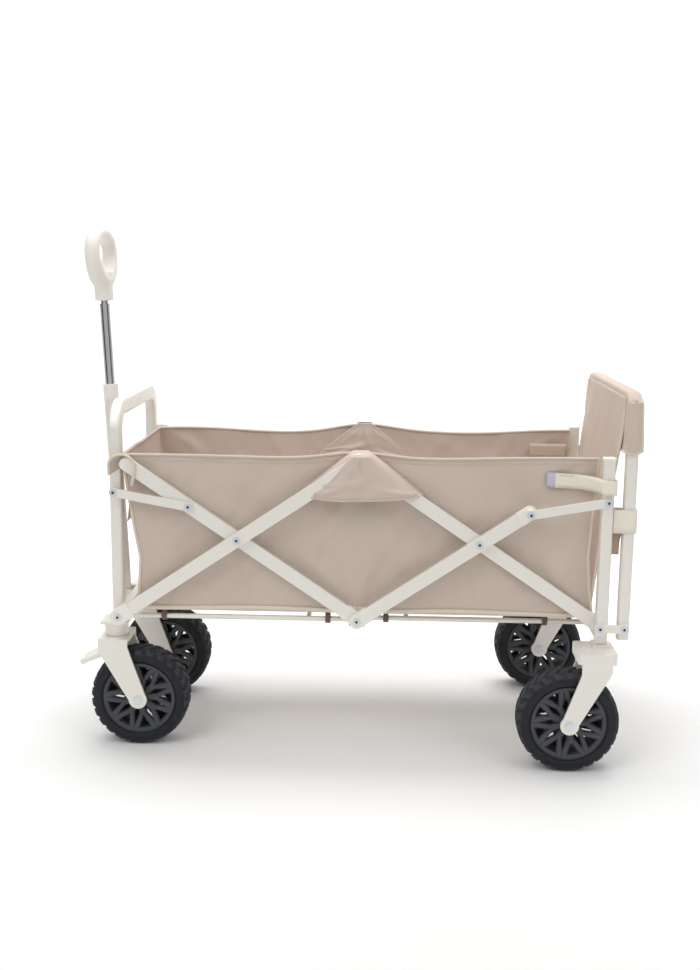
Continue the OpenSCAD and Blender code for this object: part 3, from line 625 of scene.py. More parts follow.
def make_floor():
    """The two floor panels: a stiff board sewn into fabric, an outline with rounded corners that swells
    slightly between its seams. Each rides on its floor rods, and swings up with them."""
    for half, body in (("front", "front_rails"), ("rear", "rear_rails")):
        lo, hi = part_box(f"floor_{half}")
        inset = 0.0035
        x0, x1 = lo.x + (0.022 if half == "front" else inset / 2), hi.x - (inset / 2 if half == "front" else 0.004)
        u, v = np.meshgrid(np.linspace(-1, 1, 72), np.linspace(-1, 1, 60), indexing="ij")
        swell = (1 - u**10) * (1 - v**10)
        x = (x0 + x1) / 2 + u * (x1 - x0) / 2
        y = v * (HALF_Y - inset)
        top = hi.z + 0.0012 * swell + ripple(u, v, 81, 0.0006) * swell
        low = lo.z + 0.0012 - 0.001 * swell
        shape = Shape()
        upper = np.stack([x, y, top], -1)
        lower = np.stack([x, y, low], -1)
        edge = np.concatenate([upper[0], upper[1:, -1], upper[-1, -2::-1], upper[-2:0:-1, 0]])
        under = np.concatenate([lower[0], lower[1:, -1], lower[-1, -2::-1], lower[-2:0:-1, 0]])
        shape.grid(upper).grid(lower).grid(np.stack([edge, under]), wrap=True)
        panel = shape.piece(f"floor_panel_{half}", finish("taupe_cloth"))
        weld(panel)
        dress(panel, "taupe_cloth", f"floor_{half}")
        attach(panel, body)
        strip = Shape()
        for s in (-1, 1):
            along = np.linspace(x0, x1, 60)
            path = np.stack([along, np.full(60, s * (HALF_Y - inset)), np.full(60, (hi.z + lo.z) / 2)], -1)
            strip.rope(path, sizes().piping, 8, up=(0, 0, 1))
        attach(dress(strip.piece(f"floor_piping_{half}", finish("cream_piping"), closed=True), "cream_webbing"), body)
        loops = Shape()
        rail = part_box(f"{half}_rails")
        rail_y = rail[1].y - 0.0045
        rail_z = (rail[0].z + rail[1].z) / 2
        if half == "front":
            rail_z = rail[1].z - 0.0045
        spots = [MID_X - 0.051, MID_X - 0.34] if half == "front" else [MID_X + 0.051, MID_X + 0.33]
        for spot in spots:
            for s in (-1, 1):
                turn = np.linspace(-0.5, 2 * math.pi - 0.5, 24)
                ring_z = rail_z + 0.0035 + 0.0105 * np.cos(turn)
                ring = np.stack([np.full(24, spot), s * rail_y + 0.0066 * np.sin(turn), ring_z], -1)
                loops.grid(strap(ring, 0.009, 0.0012, across=(1, 0, 0)), wrap=True, caps=True)
        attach(dress(loops.piece(f"rail_loops_{half}", finish("brown_webbing"), closed=True), "cream_webbing"), body)


def weld(piece, distance=1e-6):
    """Joins points that lie on each other and turns the faces outward."""
    work = bmesh.new()
    work.from_mesh(piece.data)
    bmesh.ops.remove_doubles(work, verts=work.verts, dist=distance)
    bmesh.ops.recalc_face_normals(work, faces=work.faces)
    work.to_mesh(piece.data)
    work.free()


def flap_points(side, inner=False):
    """A pocket flap over the bars' top: it widens from a short ridge at the rim to its hem, and rises off
    the wall in a rounded box that clears the bars, with folds drawn from its lower corners."""
    v, u = np.meshgrid(np.linspace(0, 1, 70), np.linspace(-1, 1, 90), indexing="ij")
    left, right = (0.102, 0.112) if not inner else (0.098, 0.098)
    reach = np.where(u < 0, left, right)
    half = 0.012 + (reach - 0.012) * v**0.94
    top = rim_height(np.array([MID_X]), side)[0] + (0.0035 if not inner else 0.002)
    hem = (0.474 if not inner else 0.479) - 0.010 * (1 - u**2) * (0 if inner else 1)
    x = MID_X + 0.004 * (1 - v) + u * half
    z = top * (1 - v) + hem * v + (0.002 * np.sin(3 * u + 1) * v if not inner else 0)
    box = (1 - np.abs(u) ** 3.2) ** 0.55
    lift = smoothstep(v / 0.10) ** 0.7 if not inner else smoothstep(v / 0.35)
    depth = (BAR_HIGH.y + 0.0035 - HALF_Y) if not inner else 0.004
    folds = (
        crease(u, v, (-0.95, 0.97), -0.35, 1.2, 0.09, 0.0035)
        + crease(u, v, (-0.9, 0.75), -0.15, 1.0, 0.07, 0.0025)
        + crease(u, v, (0.95, 0.95), 3.4, 1.0, 0.08, 0.003)
        - crease(u, v, (0.0, 0.25), 1.4, 0.6, 0.10, 0.002)
    )
    bell = 0.006 * v**3 * (1 - u**2)
    waves = ripple(u * 1.4, v * 1.4, 97 if side < 0 else 98, 0.0012)
    puff = depth * box * lift + np.where(box > 0.3, folds + waves, 0) * box * smoothstep(v * 3) + (0 if inner else bell)
    y = side * (HALF_Y + 0.0008 + puff) if not inner else side * (HALF_Y - 0.009 - puff)
    return np.stack([x, y, z], -1)


def make_top_pockets():
    """The pockets over the bars' top pivots, with their hems and seam stitching, and the inner gussets.
    Each hangs between bars A and C and folds at their pivot."""
    for where, side in SIDES.items():
        for kind in ("outer", "inner"):
            p = flap_points(side, kind == "inner")
            flap = thicken(Shape().grid(p).piece(f"top_pocket_{kind}_{where}", finish("taupe_cloth")), sizes().cloth)
            dress(flap, "taupe_cloth", "top_pockets")
            out = np.array([0, side * (1 if kind == "outer" else -1) * 0.0012, 0])
            hem = Shape().rope(p[-1], 0.0019, 8, up=(0, 1, 0))
            for column in (0, -1):
                hem.rope(p[2:, column] + out * 0.5, 0.0013, 6, up=(0, 1, 0))
            band = dress(hem.piece(f"top_pocket_hem_{kind}_{where}", finish("taupe_cloth"), closed=True), "taupe_cloth")
            rows = [p[-4, 2:-2] + out, p[3:, 3] + out, p[3:, -4] + out]
            seams = [stitches(row, f"top_pocket_stitch_{kind}_{where}_{i}") for i, row in enumerate(rows)]
            for piece in (flap, band, *seams):
                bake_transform(piece)


def make_corner_pockets():
    """The open pockets that hold the upper ends of bars B at the front corners: a hood whose mouth opens
    outward and down, from a round tip behind the bar's end to a piped rim."""
    tip = Vector(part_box("ends_b")[0])
    top_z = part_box("ends_b")[1].z
    for where, side in SIDES.items():
        s, t = np.meshgrid(np.linspace(0, 1, 26), np.linspace(0, 1, 48), indexing="ij")
        angle = math.pi * (1.10 - 1.32 * t)
        grow = s**0.6
        cx, cz = tip.x + 0.004, top_z - 0.016
        rx, rz = 0.022 * grow, 0.019 * grow
        x = cx + rx * np.cos(angle) + 0.004 * (1 - s)
        z = cz + 0.003 + rz * np.sin(angle) - 0.035 * grow * np.clip(-np.sin(angle), 0, 1)
        y = side * (HALF_Y - 0.001 + 0.019 * s**1.6)
        p = np.stack([x, y, z], -1)
        hood = thicken(Shape().grid(p).piece(f"corner_pocket_{where}", finish("taupe_cloth")), sizes().cloth)
        rim = Shape().rope(p[-1], sizes().piping * 0.9, 8, up=(0, 1, 0))
        edge = rim.piece(f"corner_pocket_piping_{where}", finish("cream_piping"), closed=True)
        for piece, slot in ((hood, "taupe_cloth"), (edge, "cream_webbing")):
            dress(piece, slot)
            fold_front(piece)


# ---------------------------------------------------------------- tailgate cloth


def make_rear_panel():
    """The rear end wall: a sheet from the floor's rear edge up to the tailgate's top tube, sloping
    outward, a little slack. It bends at the tailgate's hinge."""
    v, u = np.meshgrid(np.linspace(0, 1, 90), np.linspace(-1, 1, 90), indexing="ij")
    top_z, top_x = GATE_HIGH.z - 0.012, GATE_LOW.x - 0.0022
    low_x = REAR_HIGH.x - 0.002
    z = FLOOR_Z + 0.003 + v * (top_z - FLOOR_Z)
    x = low_x + (top_x - low_x) * smoothstep(v * 0.9 + 0.05) + ripple(u, v * 1.5, 131, 0.0016)
    x -= 0.006 * np.sin(math.pi * v) * (1 - u**2)
    half = 0.165 + 0.0165 * v
    p = np.stack([x, u * half, z], -1)
    cloth = thicken(Shape().grid(p).piece("rear_panel", finish("taupe_cloth")), sizes().cloth)
    dress(cloth, "taupe_cloth", "gate_panel")
    trim = Shape()
    for column in (0, -1):
        trim.rope(p[:, column], sizes().piping * 0.9, 8, up=(0, 1, 0))
    trim.rope(p[0], sizes().piping, 8)
    edge = dress(trim.piece("rear_panel_piping", finish("cream_piping"), closed=True), "cream_webbing")
    for piece in (cloth, edge):
        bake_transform(piece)


def make_gate_cover():
    """The cover over the tailgate's top: it runs from the inner side over the top tube and down the
    outside, and wraps both uprights. Across the tube its section is a U with a squared top."""
    low_in, low_out = GATE_HIGH.z - 0.098, GATE_HIGH.z - 0.096
    half = GATE_HIGH.y + 0.003
    s, u = np.meshgrid(np.linspace(0, 1, 90), np.linspace(-1, 1, 110), indexing="ij")
    tube_x = (GATE_LOW.x + GATE_HIGH.x) / 2
    wide = 0.0118
    turn = math.pi * np.clip((s - 0.42) / 0.16, 0, 1)
    up = np.clip(s / 0.42, 0, 1)
    down = np.clip((s - 0.58) / 0.42, 0, 1)
    crown = GATE_HIGH.z + 0.0015 - 0.0125
    corner = 0.016 * np.clip((np.abs(u) - 0.82) / 0.18, 0, 1) ** 2.2
    over_top = crown + 0.0125 * np.sqrt(np.abs(np.sin(turn)))
    z = np.where(s > 0.58, crown - down * (crown - low_out), over_top)
    z = np.where(s < 0.42, low_in + up * (crown - low_in), z)
    z = z - corner * smoothstep(1 - np.abs(s - 0.5) * 4.2) - 0.004 * (s < 0.3) * (1 - u**2) * (1 - up)
    flare = 0.0015 * down**1.5
    x_side = np.where(s < 0.5, -wide - 0.002 * (1 - up), wide + flare)
    x_top = -wide * np.sign(np.cos(turn)) * np.sqrt(np.abs(np.cos(turn)))
    x = tube_x + np.where((s > 0.42) & (s < 0.58), x_top, x_side)
    x = x + ripple(u * 1.5, s * 2, 151, 0.0018) * np.abs(s - 0.5) * 2
    y = u * (half + 0.0015 * np.sin(9 * s))
    p = np.stack([x, y, z], -1)
    cover = thicken(Shape().grid(p).piece("gate_cover", finish("taupe_cloth")), sizes().cloth, 1.0)
    dress(cover, "taupe_cloth")
    shape, trims = Shape(), Shape()
    for side in (-1, 1):
        a = p[:, 0 if side < 0 else -1]
        n = len(a) // 2
        inner, outer = a[:n], a[: -n - 1 : -1]
        t = np.linspace(0, 1, 12)[None, :, None]
        closure = inner[:, None] * (1 - t) + outer[:, None] * t
        closure[..., 1] += side * 0.0045 * np.sin(math.pi * t[..., 0]) * smoothstep(np.linspace(0, 3, n))[:, None]
        drop = np.array([0, 0, -0.012]) * (1 - np.linspace(0, 1, n))[:, None, None] * np.sin(math.pi * t)
        shape.grid(closure + drop * 0.4)
        trims.rope(outer, sizes().piping * 0.8, 8, up=(0, 1, 0))
        trims.rope((closure + drop * 0.4)[0], sizes().piping * 0.9, 8)
    cheeks = thicken(shape.piece("gate_cover_sides", finish("taupe_cloth")), sizes().cloth)
    dress(cheeks, "taupe_cloth")
    trims.rope(p[-1], sizes().piping * 0.9, 8)
    trims.rope(p[0], 0.002, 8)
    edge = dress(trims.piece("gate_cover_piping", finish("cream_piping"), closed=True), "cream_webbing")
    seam = stitches(p[50] + [0.0015, 0, 0.0], "gate_cover_stitch")
    for piece in (cover, cheeks, edge, seam):
        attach(piece, "tailgate")


# ---------------------------------------------------------------- straps


def make_straps():
    """The webbing: a strap on each side wall that wraps the rear post, a wide loop round each tailgate
    upright, a tan tab below it and the hook patches."""
    post_x = REAR_PIVOT.x + 0.004
    post_y = 0.205
    t = sizes().webbing
    loop_low, loop_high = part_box("strap_loops")
    for where, side in SIDES.items():
        pts = [
            (MID_X + 0.335, HALF_Y + 0.0030, 0.501),
            (MID_X + 0.375, HALF_Y + 0.0040, 0.4995),
            (post_x - 0.022, HALF_Y + 0.0165, 0.4975),
            (post_x - 0.0125, post_y - 0.004, 0.4965),
            (post_x - 0.008, post_y + 0.0022, 0.496),
            (post_x + 0.0105, post_y + 0.0024, 0.495),
            (post_x + 0.0128, post_y - 0.004, 0.495),
            (post_x + 0.0130, post_y - 0.017, 0.495),
        ]
        path = line([(x, side * y, z) for x, y, z in pts], 0.003)
        band = run(strap(path, 0.025, t), f"side_strap_{where}", "cream_webbing")
        dress(band, "cream_webbing", "side_straps")
        patch_path = line([
            (MID_X + 0.321, side * (HALF_Y + 0.0018), 0.502),
            (MID_X + 0.35, side * (HALF_Y + 0.002), 0.501),
        ], 0.004)
        patch = run(strap(patch_path, 0.026, 0.0018), f"hook_patch_{where}", "hook_patch")
        dress(patch, "cream_webbing")
        box_rows = []
        for dz in (-0.010, 0.010):
            box_rows.append(line([
                (MID_X + 0.338, side * (HALF_Y + 0.0045), 0.501 + dz),
                (MID_X + 0.372, side * (HALF_Y + 0.0056), 0.4996 + dz),
            ], 0.004))
        sewn = [stitches(row, f"side_strap_stitch_{where}_{i}") for i, row in enumerate(box_rows)]
        inner_y = side * (HALF_Y - 0.012)
        inner = line([(MID_X + 0.331, inner_y, 0.5015), (MID_X + 0.402, inner_y, 0.5015)], 0.004)
        facing = run(strap(inner, 0.027, 0.0012), f"strap_backing_{where}", "taupe_cloth")
        dress(facing, "taupe_cloth")
        for piece in (band, patch, facing, *sewn):
            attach(piece, "rear_frame")
            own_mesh(piece)
        gate_x = (GATE_LOW.x + GATE_HIGH.x) / 2
        centre_y = -GATE_LOW.y - 0.010
        corners = []
        for k in range(24):
            a = 2 * math.pi * k / 24
            c, s_ = math.cos(a), math.sin(a)
            fold_r = 0.0118 / max(abs(c), abs(s_)) ** 0.85
            corners.append((gate_x + fold_r * c - (0.014 if c < -0.6 else 0), side * (centre_y + fold_r * s_), 0))
        ring = np.array(corners)
        ring[:, 2] = (loop_low.z + loop_high.z) / 2
        ring = np.vstack([ring, ring[:1]])
        height = loop_high.z - loop_low.z
        loop = run(strap(ring, height, t), f"gate_loop_{where}", "cream_webbing")
        dress(loop, "cream_webbing", "strap_loops")
        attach(loop, "tailgate")
        tab_path = line([
            (gate_x - 0.012, side * (centre_y - 0.006), 0.437),
            (gate_x - 0.020, side * (centre_y - 0.004), 0.405),
            (gate_x - 0.021, side * (centre_y - 0.004), 0.378),
        ], 0.004)
        tab = run(strap(tab_path, 0.016, t, across=(1, 0, 0)), f"gate_tab_{where}", "tan_webbing")
        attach(dress(tab, "cream_webbing"), "tailgate")


# ---------------------------------------------------------------- wheels

TREAD_BLOCKS = 26
SPOKES = 9


def tyre_points(centre, radius, half):
    """A tyre: a rounded profile turned round the axle. The tread is a height that depends on the angle and
    the place across: slanted shoulder blocks on both sides, staggered, with a broken middle row."""
    around, across = TREAD_BLOCKS * 18, 58
    s = np.linspace(-1, 1, across)
    a = np.linspace(0, 2 * math.pi, around, endpoint=False)
    s, a = np.meshgrid(s, a)
    bead = 0.745
    side_reach = np.clip((np.abs(s) - 0.62) / 0.38, 0, 1)
    flat = np.clip(np.abs(s) / 0.62, 0, 1)
    y = np.sign(s) * half * np.where(np.abs(s) < 0.62, flat * 0.93, 0.93 + 0.07 * np.sin(side_reach * math.pi))
    base = radius - sizes().tread
    body = base * (1 - 0.030 * flat**4)
    fall = body - (body - bead * radius) * side_reach**1.1
    r = np.where(np.abs(s) < 0.62, body, fall)
    place = y / half
    phase = a * TREAD_BLOCKS / (2 * math.pi)

    def block(value, share, soft=0.10):
        cut = np.abs(((value + 0.5) % 1) - 0.5) * 2
        return smoothstep((share - cut) / soft + 0.5)

    slant = np.abs(place) * 0.55
    stagger = np.where(place > 0, 0.5, 0.0)
    shoulder = block(phase + slant + stagger, 0.76) * smoothstep((np.abs(place) - 0.42) / 0.06)
    middle = block(phase + 0.9 * place + 0.25, 0.74) * smoothstep((0.36 - np.abs(place)) / 0.06)
    notch = 1 - 0.55 * block(phase * 2 + slant * 2 + 0.4, 0.14) * (np.abs(place) > 0.5)
    inner_rib = block(phase + 0.25, 0.72) * smoothstep(1 - np.abs(np.abs(place) - 0.40) / 0.05) * 0.5
    height = np.maximum(np.maximum(shoulder * notch, middle), inner_rib)
    wrap = np.where(side_reach > 0, np.clip(1 - side_reach / 0.20, 0, 1), 1.0)
    r = r + sizes().tread * height * wrap
    y = y + np.sign(s) * 0.0022 * shoulder * (side_reach > 0) * np.clip(1 - side_reach / 0.34, 0, 1)
    return np.stack([centre.x + r * np.cos(a), centre.y + y, centre.z + r * np.sin(a)], -1)


def turned(profile, centre, around=96):
    """A closed profile of (radius, across) points turned round the wheel's axle."""
    profile = np.asarray(profile, float)
    a = np.linspace(0, 2 * math.pi, around, endpoint=False)[:, None]
    r, y = profile[None, :, 0], profile[None, :, 1]
    return np.stack([centre.x + r * np.cos(a), centre.y + y + 0 * a, centre.z + r * np.sin(a)], -1)


def spoke(centre, a0, a1, r0, r1, y0, y1, w0, w1, deep):
    """One spoke: a tapered bar from (r0, a0) at the hub to (r1, a1) at the rim, with a raised middle."""
    t = np.linspace(0, 1, 10)[:, None]
    start = np.array([r0 * math.cos(a0), y0, r0 * math.sin(a0)])
    end = np.array([r1 * math.cos(a1), y1, r1 * math.sin(a1)])
    mid = start * (1 - t) + end * t
    way = unit(end - start)
    side = unit(np.cross(way, [0, 1, 0]))
    w = w0 * (1 - t) + w1 * t
    section = np.array([[-1, -1], [-1, 0.55], [-0.45, 1], [0.45, 1], [1, 0.55], [1, -1]])
    out = np.sign(y0) if y0 else 1.0
    p = mid[:, None] + side * (w[:, None] * section[None, :, :1]) + np.array([0, out, 0]) * deep * section[None, :, 1:]
    return p + np.array(centre)


def make_wheels():
    """Each wheel: the tyre with its tread, a smooth ring on each sidewall, a rim barrel, a hub and
    two stars of V spokes."""
    for name, centre in WHEELS.items():
        lo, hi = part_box(f"tyre_{name}")
        radius, half = (hi.z - lo.z) / 2, (hi.y - lo.y) / 2
        body = f"wheel_{name}"
        tyre = Shape().grid(tyre_points(centre, radius, half - 0.003), ring=True)
        inner = np.array([
            [0.745 * radius, half * 0.90], [0.72 * radius, half * 0.78],
            [0.72 * radius, -half * 0.78], [0.745 * radius, -half * 0.90],
        ])
        tyre.grid(turned(inner, centre, TREAD_BLOCKS * 18), ring=True)
        piece = tyre.piece(f"tyre_tread_{name}", finish("tyre_rubber"))
        weld(piece, 2e-4)
        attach(dress(piece, "tyre_rubber", f"tyre_{name}"), body)
        rings = Shape()
        for s in (-1, 1):
            t = np.linspace(0, 2 * math.pi, 16, endpoint=False)
            wide, tall = np.cos(t), np.sin(t)
            wide = np.sign(wide) * np.abs(wide) ** 0.4
            profile = np.stack([0.846 * radius + 0.090 * radius * wide, s * (half - 0.0052) + 0.0042 * tall], -1)
            rings.grid(turned(profile, centre), ring=True, wrap=True)
        ring = rings.piece(f"tyre_side_ring_{name}", finish("tyre_sidewall"), closed=True)
        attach(dress(ring, "tyre_rubber"), body)
        barrel_r = 0.73 * radius
        wall = Shape()
        section = [
            (barrel_r, half * 0.86), (barrel_r - 0.004, half * 0.88), (barrel_r - 0.0065, half * 0.80),
            (barrel_r - 0.0065, -half * 0.80), (barrel_r - 0.004, -half * 0.88), (barrel_r, -half * 0.86),
        ]
        wall.grid(turned(section, centre), ring=True, wrap=True)
        hub = [
            (0.0052, half * 0.80), (0.011, half * 0.80), (0.0135, half * 0.72),
            (0.0135, -half * 0.72), (0.011, -half * 0.80), (0.0052, -half * 0.80),
        ]
        wall.grid(turned(hub, centre), ring=True, wrap=True)
        for s in (-1, 1):
            for k in range(SPOKES):
                a = 2 * math.pi * k / SPOKES
                trunk = spoke(
                    centre, a, a, 0.012, barrel_r * 0.54,
                    s * half * 0.62, s * half * 0.60, 0.0052, 0.0060, 0.0056,
                )
                wall.grid(trunk, wrap=True, caps=True)
                for d in (-1, 1):
                    spread = d * math.pi / SPOKES * 0.84
                    arm = spoke(
                        centre, a + spread * 0.16, a + spread, barrel_r * 0.47, barrel_r - 0.003,
                        s * half * 0.60, s * half * 0.72, 0.0036, 0.0056, 0.0054,
                    )
                    wall.grid(arm, wrap=True, caps=True)
        rim = wall.piece(f"wheel_spokes_{name}", finish("rim_plastic"), smooth=False, closed=True)
        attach(dress(rim, "rim_plastic", f"rim_{name}"), body)


# ---------------------------------------------------------------- grip

GRIP_TURN = math.radians(7)


def make_grip():
    """The pull grip: an egg-shaped loop of near-round section, joined to a neck that flares
    up into it, and merged into one smooth body."""
    lo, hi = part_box("grip")
    up = Vector(JOINTS["grip_slide"]["axis"]).normalized()
    foot_z = lo.z
    a = np.linspace(0, 2 * math.pi, 120, endpoint=False)
    height = hi.z - foot_z
    y = 0.0440 * np.sin(a) * (1 + 0.16 * np.cos(a))
    z = height - 0.0565 + 0.0425 * np.cos(a)
    path = np.stack([0 * a, y, z], -1)
    thick = 0.0128 + 0.0030 * np.clip(-np.cos(a), 0, 1)
    section = tube(path, thick, 20, up=(1, 0, 0), flat=1.08, closed=True)
    shape = Shape().grid(section, ring=True, wrap=True)
    t = np.linspace(0, 1, 30)[:, None]
    b = np.linspace(0, 2 * math.pi, 40, endpoint=False)[None]
    across_y = 0.0165 + 0.019 * smoothstep(t * 1.1) * t
    across_x = 0.0165 - 0.0006 * t
    neck = np.stack([across_x * np.cos(b), across_y * np.sin(b), 0.0004 + 0.052 * t + 0 * b], -1)
    shape.grid(neck, wrap=True, caps=True)
    raw = shape.piece("grip_raw", finish("ivory_plastic"), closed=True)
    m = raw.modifiers.new("merge", "REMESH")
    m.mode, m.voxel_size, m.use_smooth_shade = "VOXEL", 0.0014, True
    m = raw.modifiers.new("relax", "SMOOTH")
    m.factor, m.iterations = 0.6, 14
    done = bpy.data.meshes.new_from_object(raw.evaluated_get(bpy.context.evaluated_depsgraph_get()))
    done.name = "pull_grip"
    bpy.data.objects.remove(raw)
    turn = Matrix.Rotation(-GRIP_TURN, 4, "Z")
    lean = Matrix.Rotation(-math.atan2(-up.x, up.z), 4, "Y")
    hinge = Vector(JOINTS["handle_tilt"]["pos_m"])
    reach = (foot_z + 0.0005 - hinge.z) / up.z
    done.transform(Matrix.Translation(hinge + up * reach) @ lean @ turn)
    done.materials.clear()
    done.materials.append(finish("ivory_plastic"))
    done.polygons.foreach_set("use_smooth", np.full(len(done.polygons), True))
    grip = bpy.data.objects.new("pull_grip", done)
    bpy.context.scene.collection.objects.link(grip)
    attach(dress(grip, "ivory_plastic", "grip"), "handle_top")


# ---------------------------------------------------------------- finishes of the frame

SLOT_FINISH = {
    "ivory_coat": "ivory_coat",
    "ivory_plastic": "ivory_plastic",
    "zinc_rivet": "zinc_rivet",
    "chrome_tube": "chrome",
    "tyre_rubber": "tyre_rubber",
    "rim_plastic": "rim_plastic",
    "black_plastic": "black_plastic",
    "taupe_cloth": "taupe_cloth",
    "cream_webbing": "cream_webbing",
}


def coat_frame():
    """Gives every node of the frame its finish, by its material slot."""
    for row in frame["record"]["subparts"]:
        node = frame["nodes"][row["node"]]
        material = finish(SLOT_FINISH[row["material_slot"]])
        for slot in node.material_slots:
            slot.material = material
        if not node.material_slots:
            node.data.materials.append(material)


def make_rivet_hollow_shades():
    """The dark hollow in the middle of each rivet head: a small disc just proud of the head."""
    rows = {}
    for body, where, head in (
        ("front_frame", "fold", "front_rivets"), ("front_frame", "front_link", "front_link_rivets"),
        ("scissor_a", "front_cross", "rivets_a"), ("scissor_d", "rear_cross", "rivets_d"),
        ("rear_frame", "rear_post", "rear_rivets"), ("rear_frame", "rear_link", "rear_link_rivets"),
        ("rear_frame", "tailgate_drop", "bracket_rivets"),
        ("front_links", "", "front_link_rivets"), ("rear_links", "", "rear_link_rivets"),
    ):
        lo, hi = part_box(head)
        x, z = ((lo.x + hi.x) / 2, (lo.z + hi.z) / 2) if not where else JOINTS[where]["pos_m"][::2]
        rows.setdefault(body, []).append((x, hi.y, z))
    rows["scissor_d"].append((MID_X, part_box("rivets_d")[1].y, FRONT_PIVOT.z))
    for body, spots in rows.items():
        shape = Shape()
        for x, top, z in spots:
            for side in (-1, 1):
                edge = [(0.0001, 0.0003), (0.0021, 0.0003), (0.0024, 0.0001), (0.0024, -0.001), (0.0001, -0.001)]
                profile = [(r, side * (top + y)) for r, y in edge]
                shape.grid(turned(profile, Vector((x, 0, z)), 20), ring=True, wrap=True)
        # painted shade: a black disc stands for the shaded hollow of each rivet
        piece = shape.piece(f"rivet_hollow_shade_{body}", finish("black_plastic"), closed=True)
        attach(dress(piece, "black_plastic"), body)


# ---------------------------------------------------------------- stage


def make_stage():
    """A pale sweep, soft lights and the camera."""
    t = np.linspace(0, 1, 40)
    turn = smoothstep(t) * math.pi / 2
    curve_y = np.concatenate([[-6.0, 2.4], 2.4 + 2.2 * np.sin(turn), [4.6]])
    curve_z = np.concatenate([[0.0, 0.0], 2.2 * (1 - np.cos(turn)), [9.0]])
    x = np.linspace(-9, 9, 3)
    x = np.broadcast_to(x, (len(curve_y), 3))
    p = np.stack([x, np.repeat(curve_y[:, None], 3, 1), np.repeat(curve_z[:, None], 3, 1)], -1)
    n = Nodes("pale_floor")
    at = n.where.outputs["Object"]
    shade = n.mix(n.spread(n.noise(at, 1.5), 0.3, 0.7, 0.0, 1.0), (0.90, 0.90, 0.895, 1), (0.885, 0.885, 0.88, 1))
    floor = Shape().grid(p).piece("pale_sweep", n.set(colour=shade, rough=0.85, specular=0.2))
    world = bpy.data.worlds.new("soft_room")
    world.use_nodes = True
    world.node_tree.nodes["Background"].inputs["Color"].default_value = (1.0, 1.0, 1.0, 1.0)
    world.node_tree.nodes["Background"].inputs["Strength"].default_value = 0.44
    bpy.context.scene.world = world
    for x in (-2.4, 2.9):
        card_y, card_z = np.meshgrid([-2.6, -0.6], [0.0, 2.2])
        card = Shape().grid(np.stack([x + 0 * card_y, card_y, card_z], -1))
        card.piece(f"dark_card_{x:+.1f}", moulded_plastic("dark_card", (0.05, 0.05, 0.055)))
    for name, place, size, power in (
        ("key", (-1.6, -2.2, 2.9), 2.2, 40.0),
        ("fill", (2.3, -1.8, 2.0), 2.2, 18.0),
        ("top", (0.0, 0.3, 3.2), 2.8, 30.0),
    ):
        light = bpy.data.lights.new(name, "AREA")
        light.size, light.energy = size, power
        holder = bpy.data.objects.new(name, light)
        holder.location = place
        holder.rotation_euler = (Vector((0, 0, 0.35)) - Vector(place)).to_track_quat("-Z", "Y").to_euler()
        bpy.context.scene.collection.objects.link(holder)
    glow = bpy.data.lights.new("backdrop", "AREA")
    glow.size, glow.energy = 4.0, 170.0
    holder = bpy.data.objects.new("backdrop", glow)
    holder.location = (0.0, 1.2, 4.2)
    holder.rotation_euler = (Vector((0, 4.6, 1.6)) - Vector((0.0, 1.2, 4.2))).to_track_quat("-Z", "Y").to_euler()
    bpy.context.scene.collection.objects.link(holder)
    lens = bpy.data.cameras.new("camera")
    lens.lens, lens.sensor_width = 44.2, 36.0
    camera = bpy.data.objects.new("camera", lens)
    turn_left, look_down, roll = 0.0293, 0.1838, 0.0113
    aim = (
        Matrix.Rotation(turn_left, 4, "Z")
        @ Matrix.Rotation(math.pi / 2 - look_down, 4, "X")
        @ Matrix.Rotation(roll, 4, "Z")
    )
    camera.matrix_world = Matrix.Translation((0.0564, -2.1809, 0.8606)) @ aim
    bpy.context.scene.collection.objects.link(camera)
    bpy.context.scene.camera = camera
    bpy.context.scene.view_settings.view_transform = "Standard"


# ---------------------------------------------------------------- add-on


def operator(idname, label, text, work):
    """An operator that runs one making function."""

    def execute(self, context):
        work()
        return {"FINISHED"}

    name = "WAGON_OT_" + idname.split(".")[1]
    members = {"bl_idname": idname, "bl_label": label, "__doc__": text, "execute": execute}
    return type(name, (bpy.types.Operator,), members)


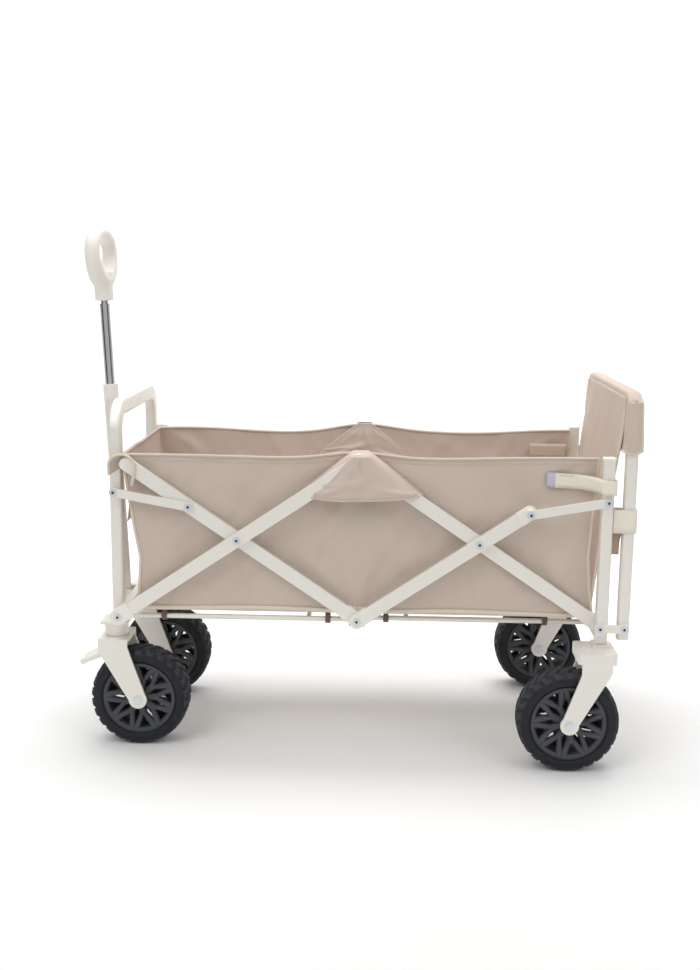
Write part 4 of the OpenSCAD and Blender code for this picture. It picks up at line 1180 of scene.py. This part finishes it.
OPERATORS = [
    operator("wagon.stage", "Stage", "Makes the floor, lights and camera", make_stage),
    operator("wagon.frame", "Frame finishes", "Coats the frame's nodes", coat_frame),
    operator("wagon.walls", "Side walls", "Makes the basket's side walls", make_side_walls),
    operator("wagon.end_wall", "End wall", "Makes the front end wall and its pocket", make_end_wall),
    operator("wagon.floor", "Floor", "Makes the basket's floor panels", make_floor),
    operator("wagon.top_pockets", "Top pockets", "Makes the pockets over the bars", make_top_pockets),
    operator("wagon.corner_pockets", "Corner pockets", "Makes the front corner pockets", make_corner_pockets),
    operator("wagon.rear_panel", "Rear panel", "Makes the rear end wall", make_rear_panel),
    operator("wagon.gate_cover", "Tailgate cover", "Makes the cover over the tailgate", make_gate_cover),
    operator("wagon.straps", "Straps", "Makes the straps, loops and patches", make_straps),
    operator("wagon.wheels", "Wheels", "Makes the tyres and rims", make_wheels),
    operator("wagon.grip", "Grip", "Makes the pull grip", make_grip),
    # the rivet recesses are black discs of painted shade
    operator("wagon.rivets", "Rivet recesses", "Makes the hollows of the rivet heads", make_rivet_hollow_shades),
]


class WAGON_PT_panel(bpy.types.Panel):
    """The wagon's settings and makers"""

    bl_idname = "WAGON_PT_panel"
    bl_label = "Folding Wagon"
    bl_space_type = "VIEW_3D"
    bl_region_type = "UI"
    bl_category = "Wagon"

    def draw(self, context):
        for settings in (context.scene.wagon_sizes, context.scene.wagon_colours):
            for key in settings.__annotations__:
                self.layout.prop(settings, key)
        for kind in OPERATORS:
            self.layout.operator(kind.bl_idname)


CLASSES = [WagonSizes, WagonColours, *OPERATORS, WAGON_PT_panel]


def register():
    for kind in CLASSES:
        bpy.utils.register_class(kind)
    bpy.types.Scene.wagon_sizes = bpy.props.PointerProperty(type=WagonSizes)
    bpy.types.Scene.wagon_colours = bpy.props.PointerProperty(type=WagonColours)


def unregister():
    del bpy.types.Scene.wagon_sizes
    del bpy.types.Scene.wagon_colours
    for kind in reversed(CLASSES):
        bpy.utils.unregister_class(kind)


def main():
    register()
    for kind in OPERATORS:
        group, action = kind.bl_idname.split(".")
        if getattr(getattr(bpy.ops, group), action)() != {"FINISHED"}:
            raise RuntimeError(f"{kind.bl_label} didn't finish")


if __name__ == "__main__":
    main()
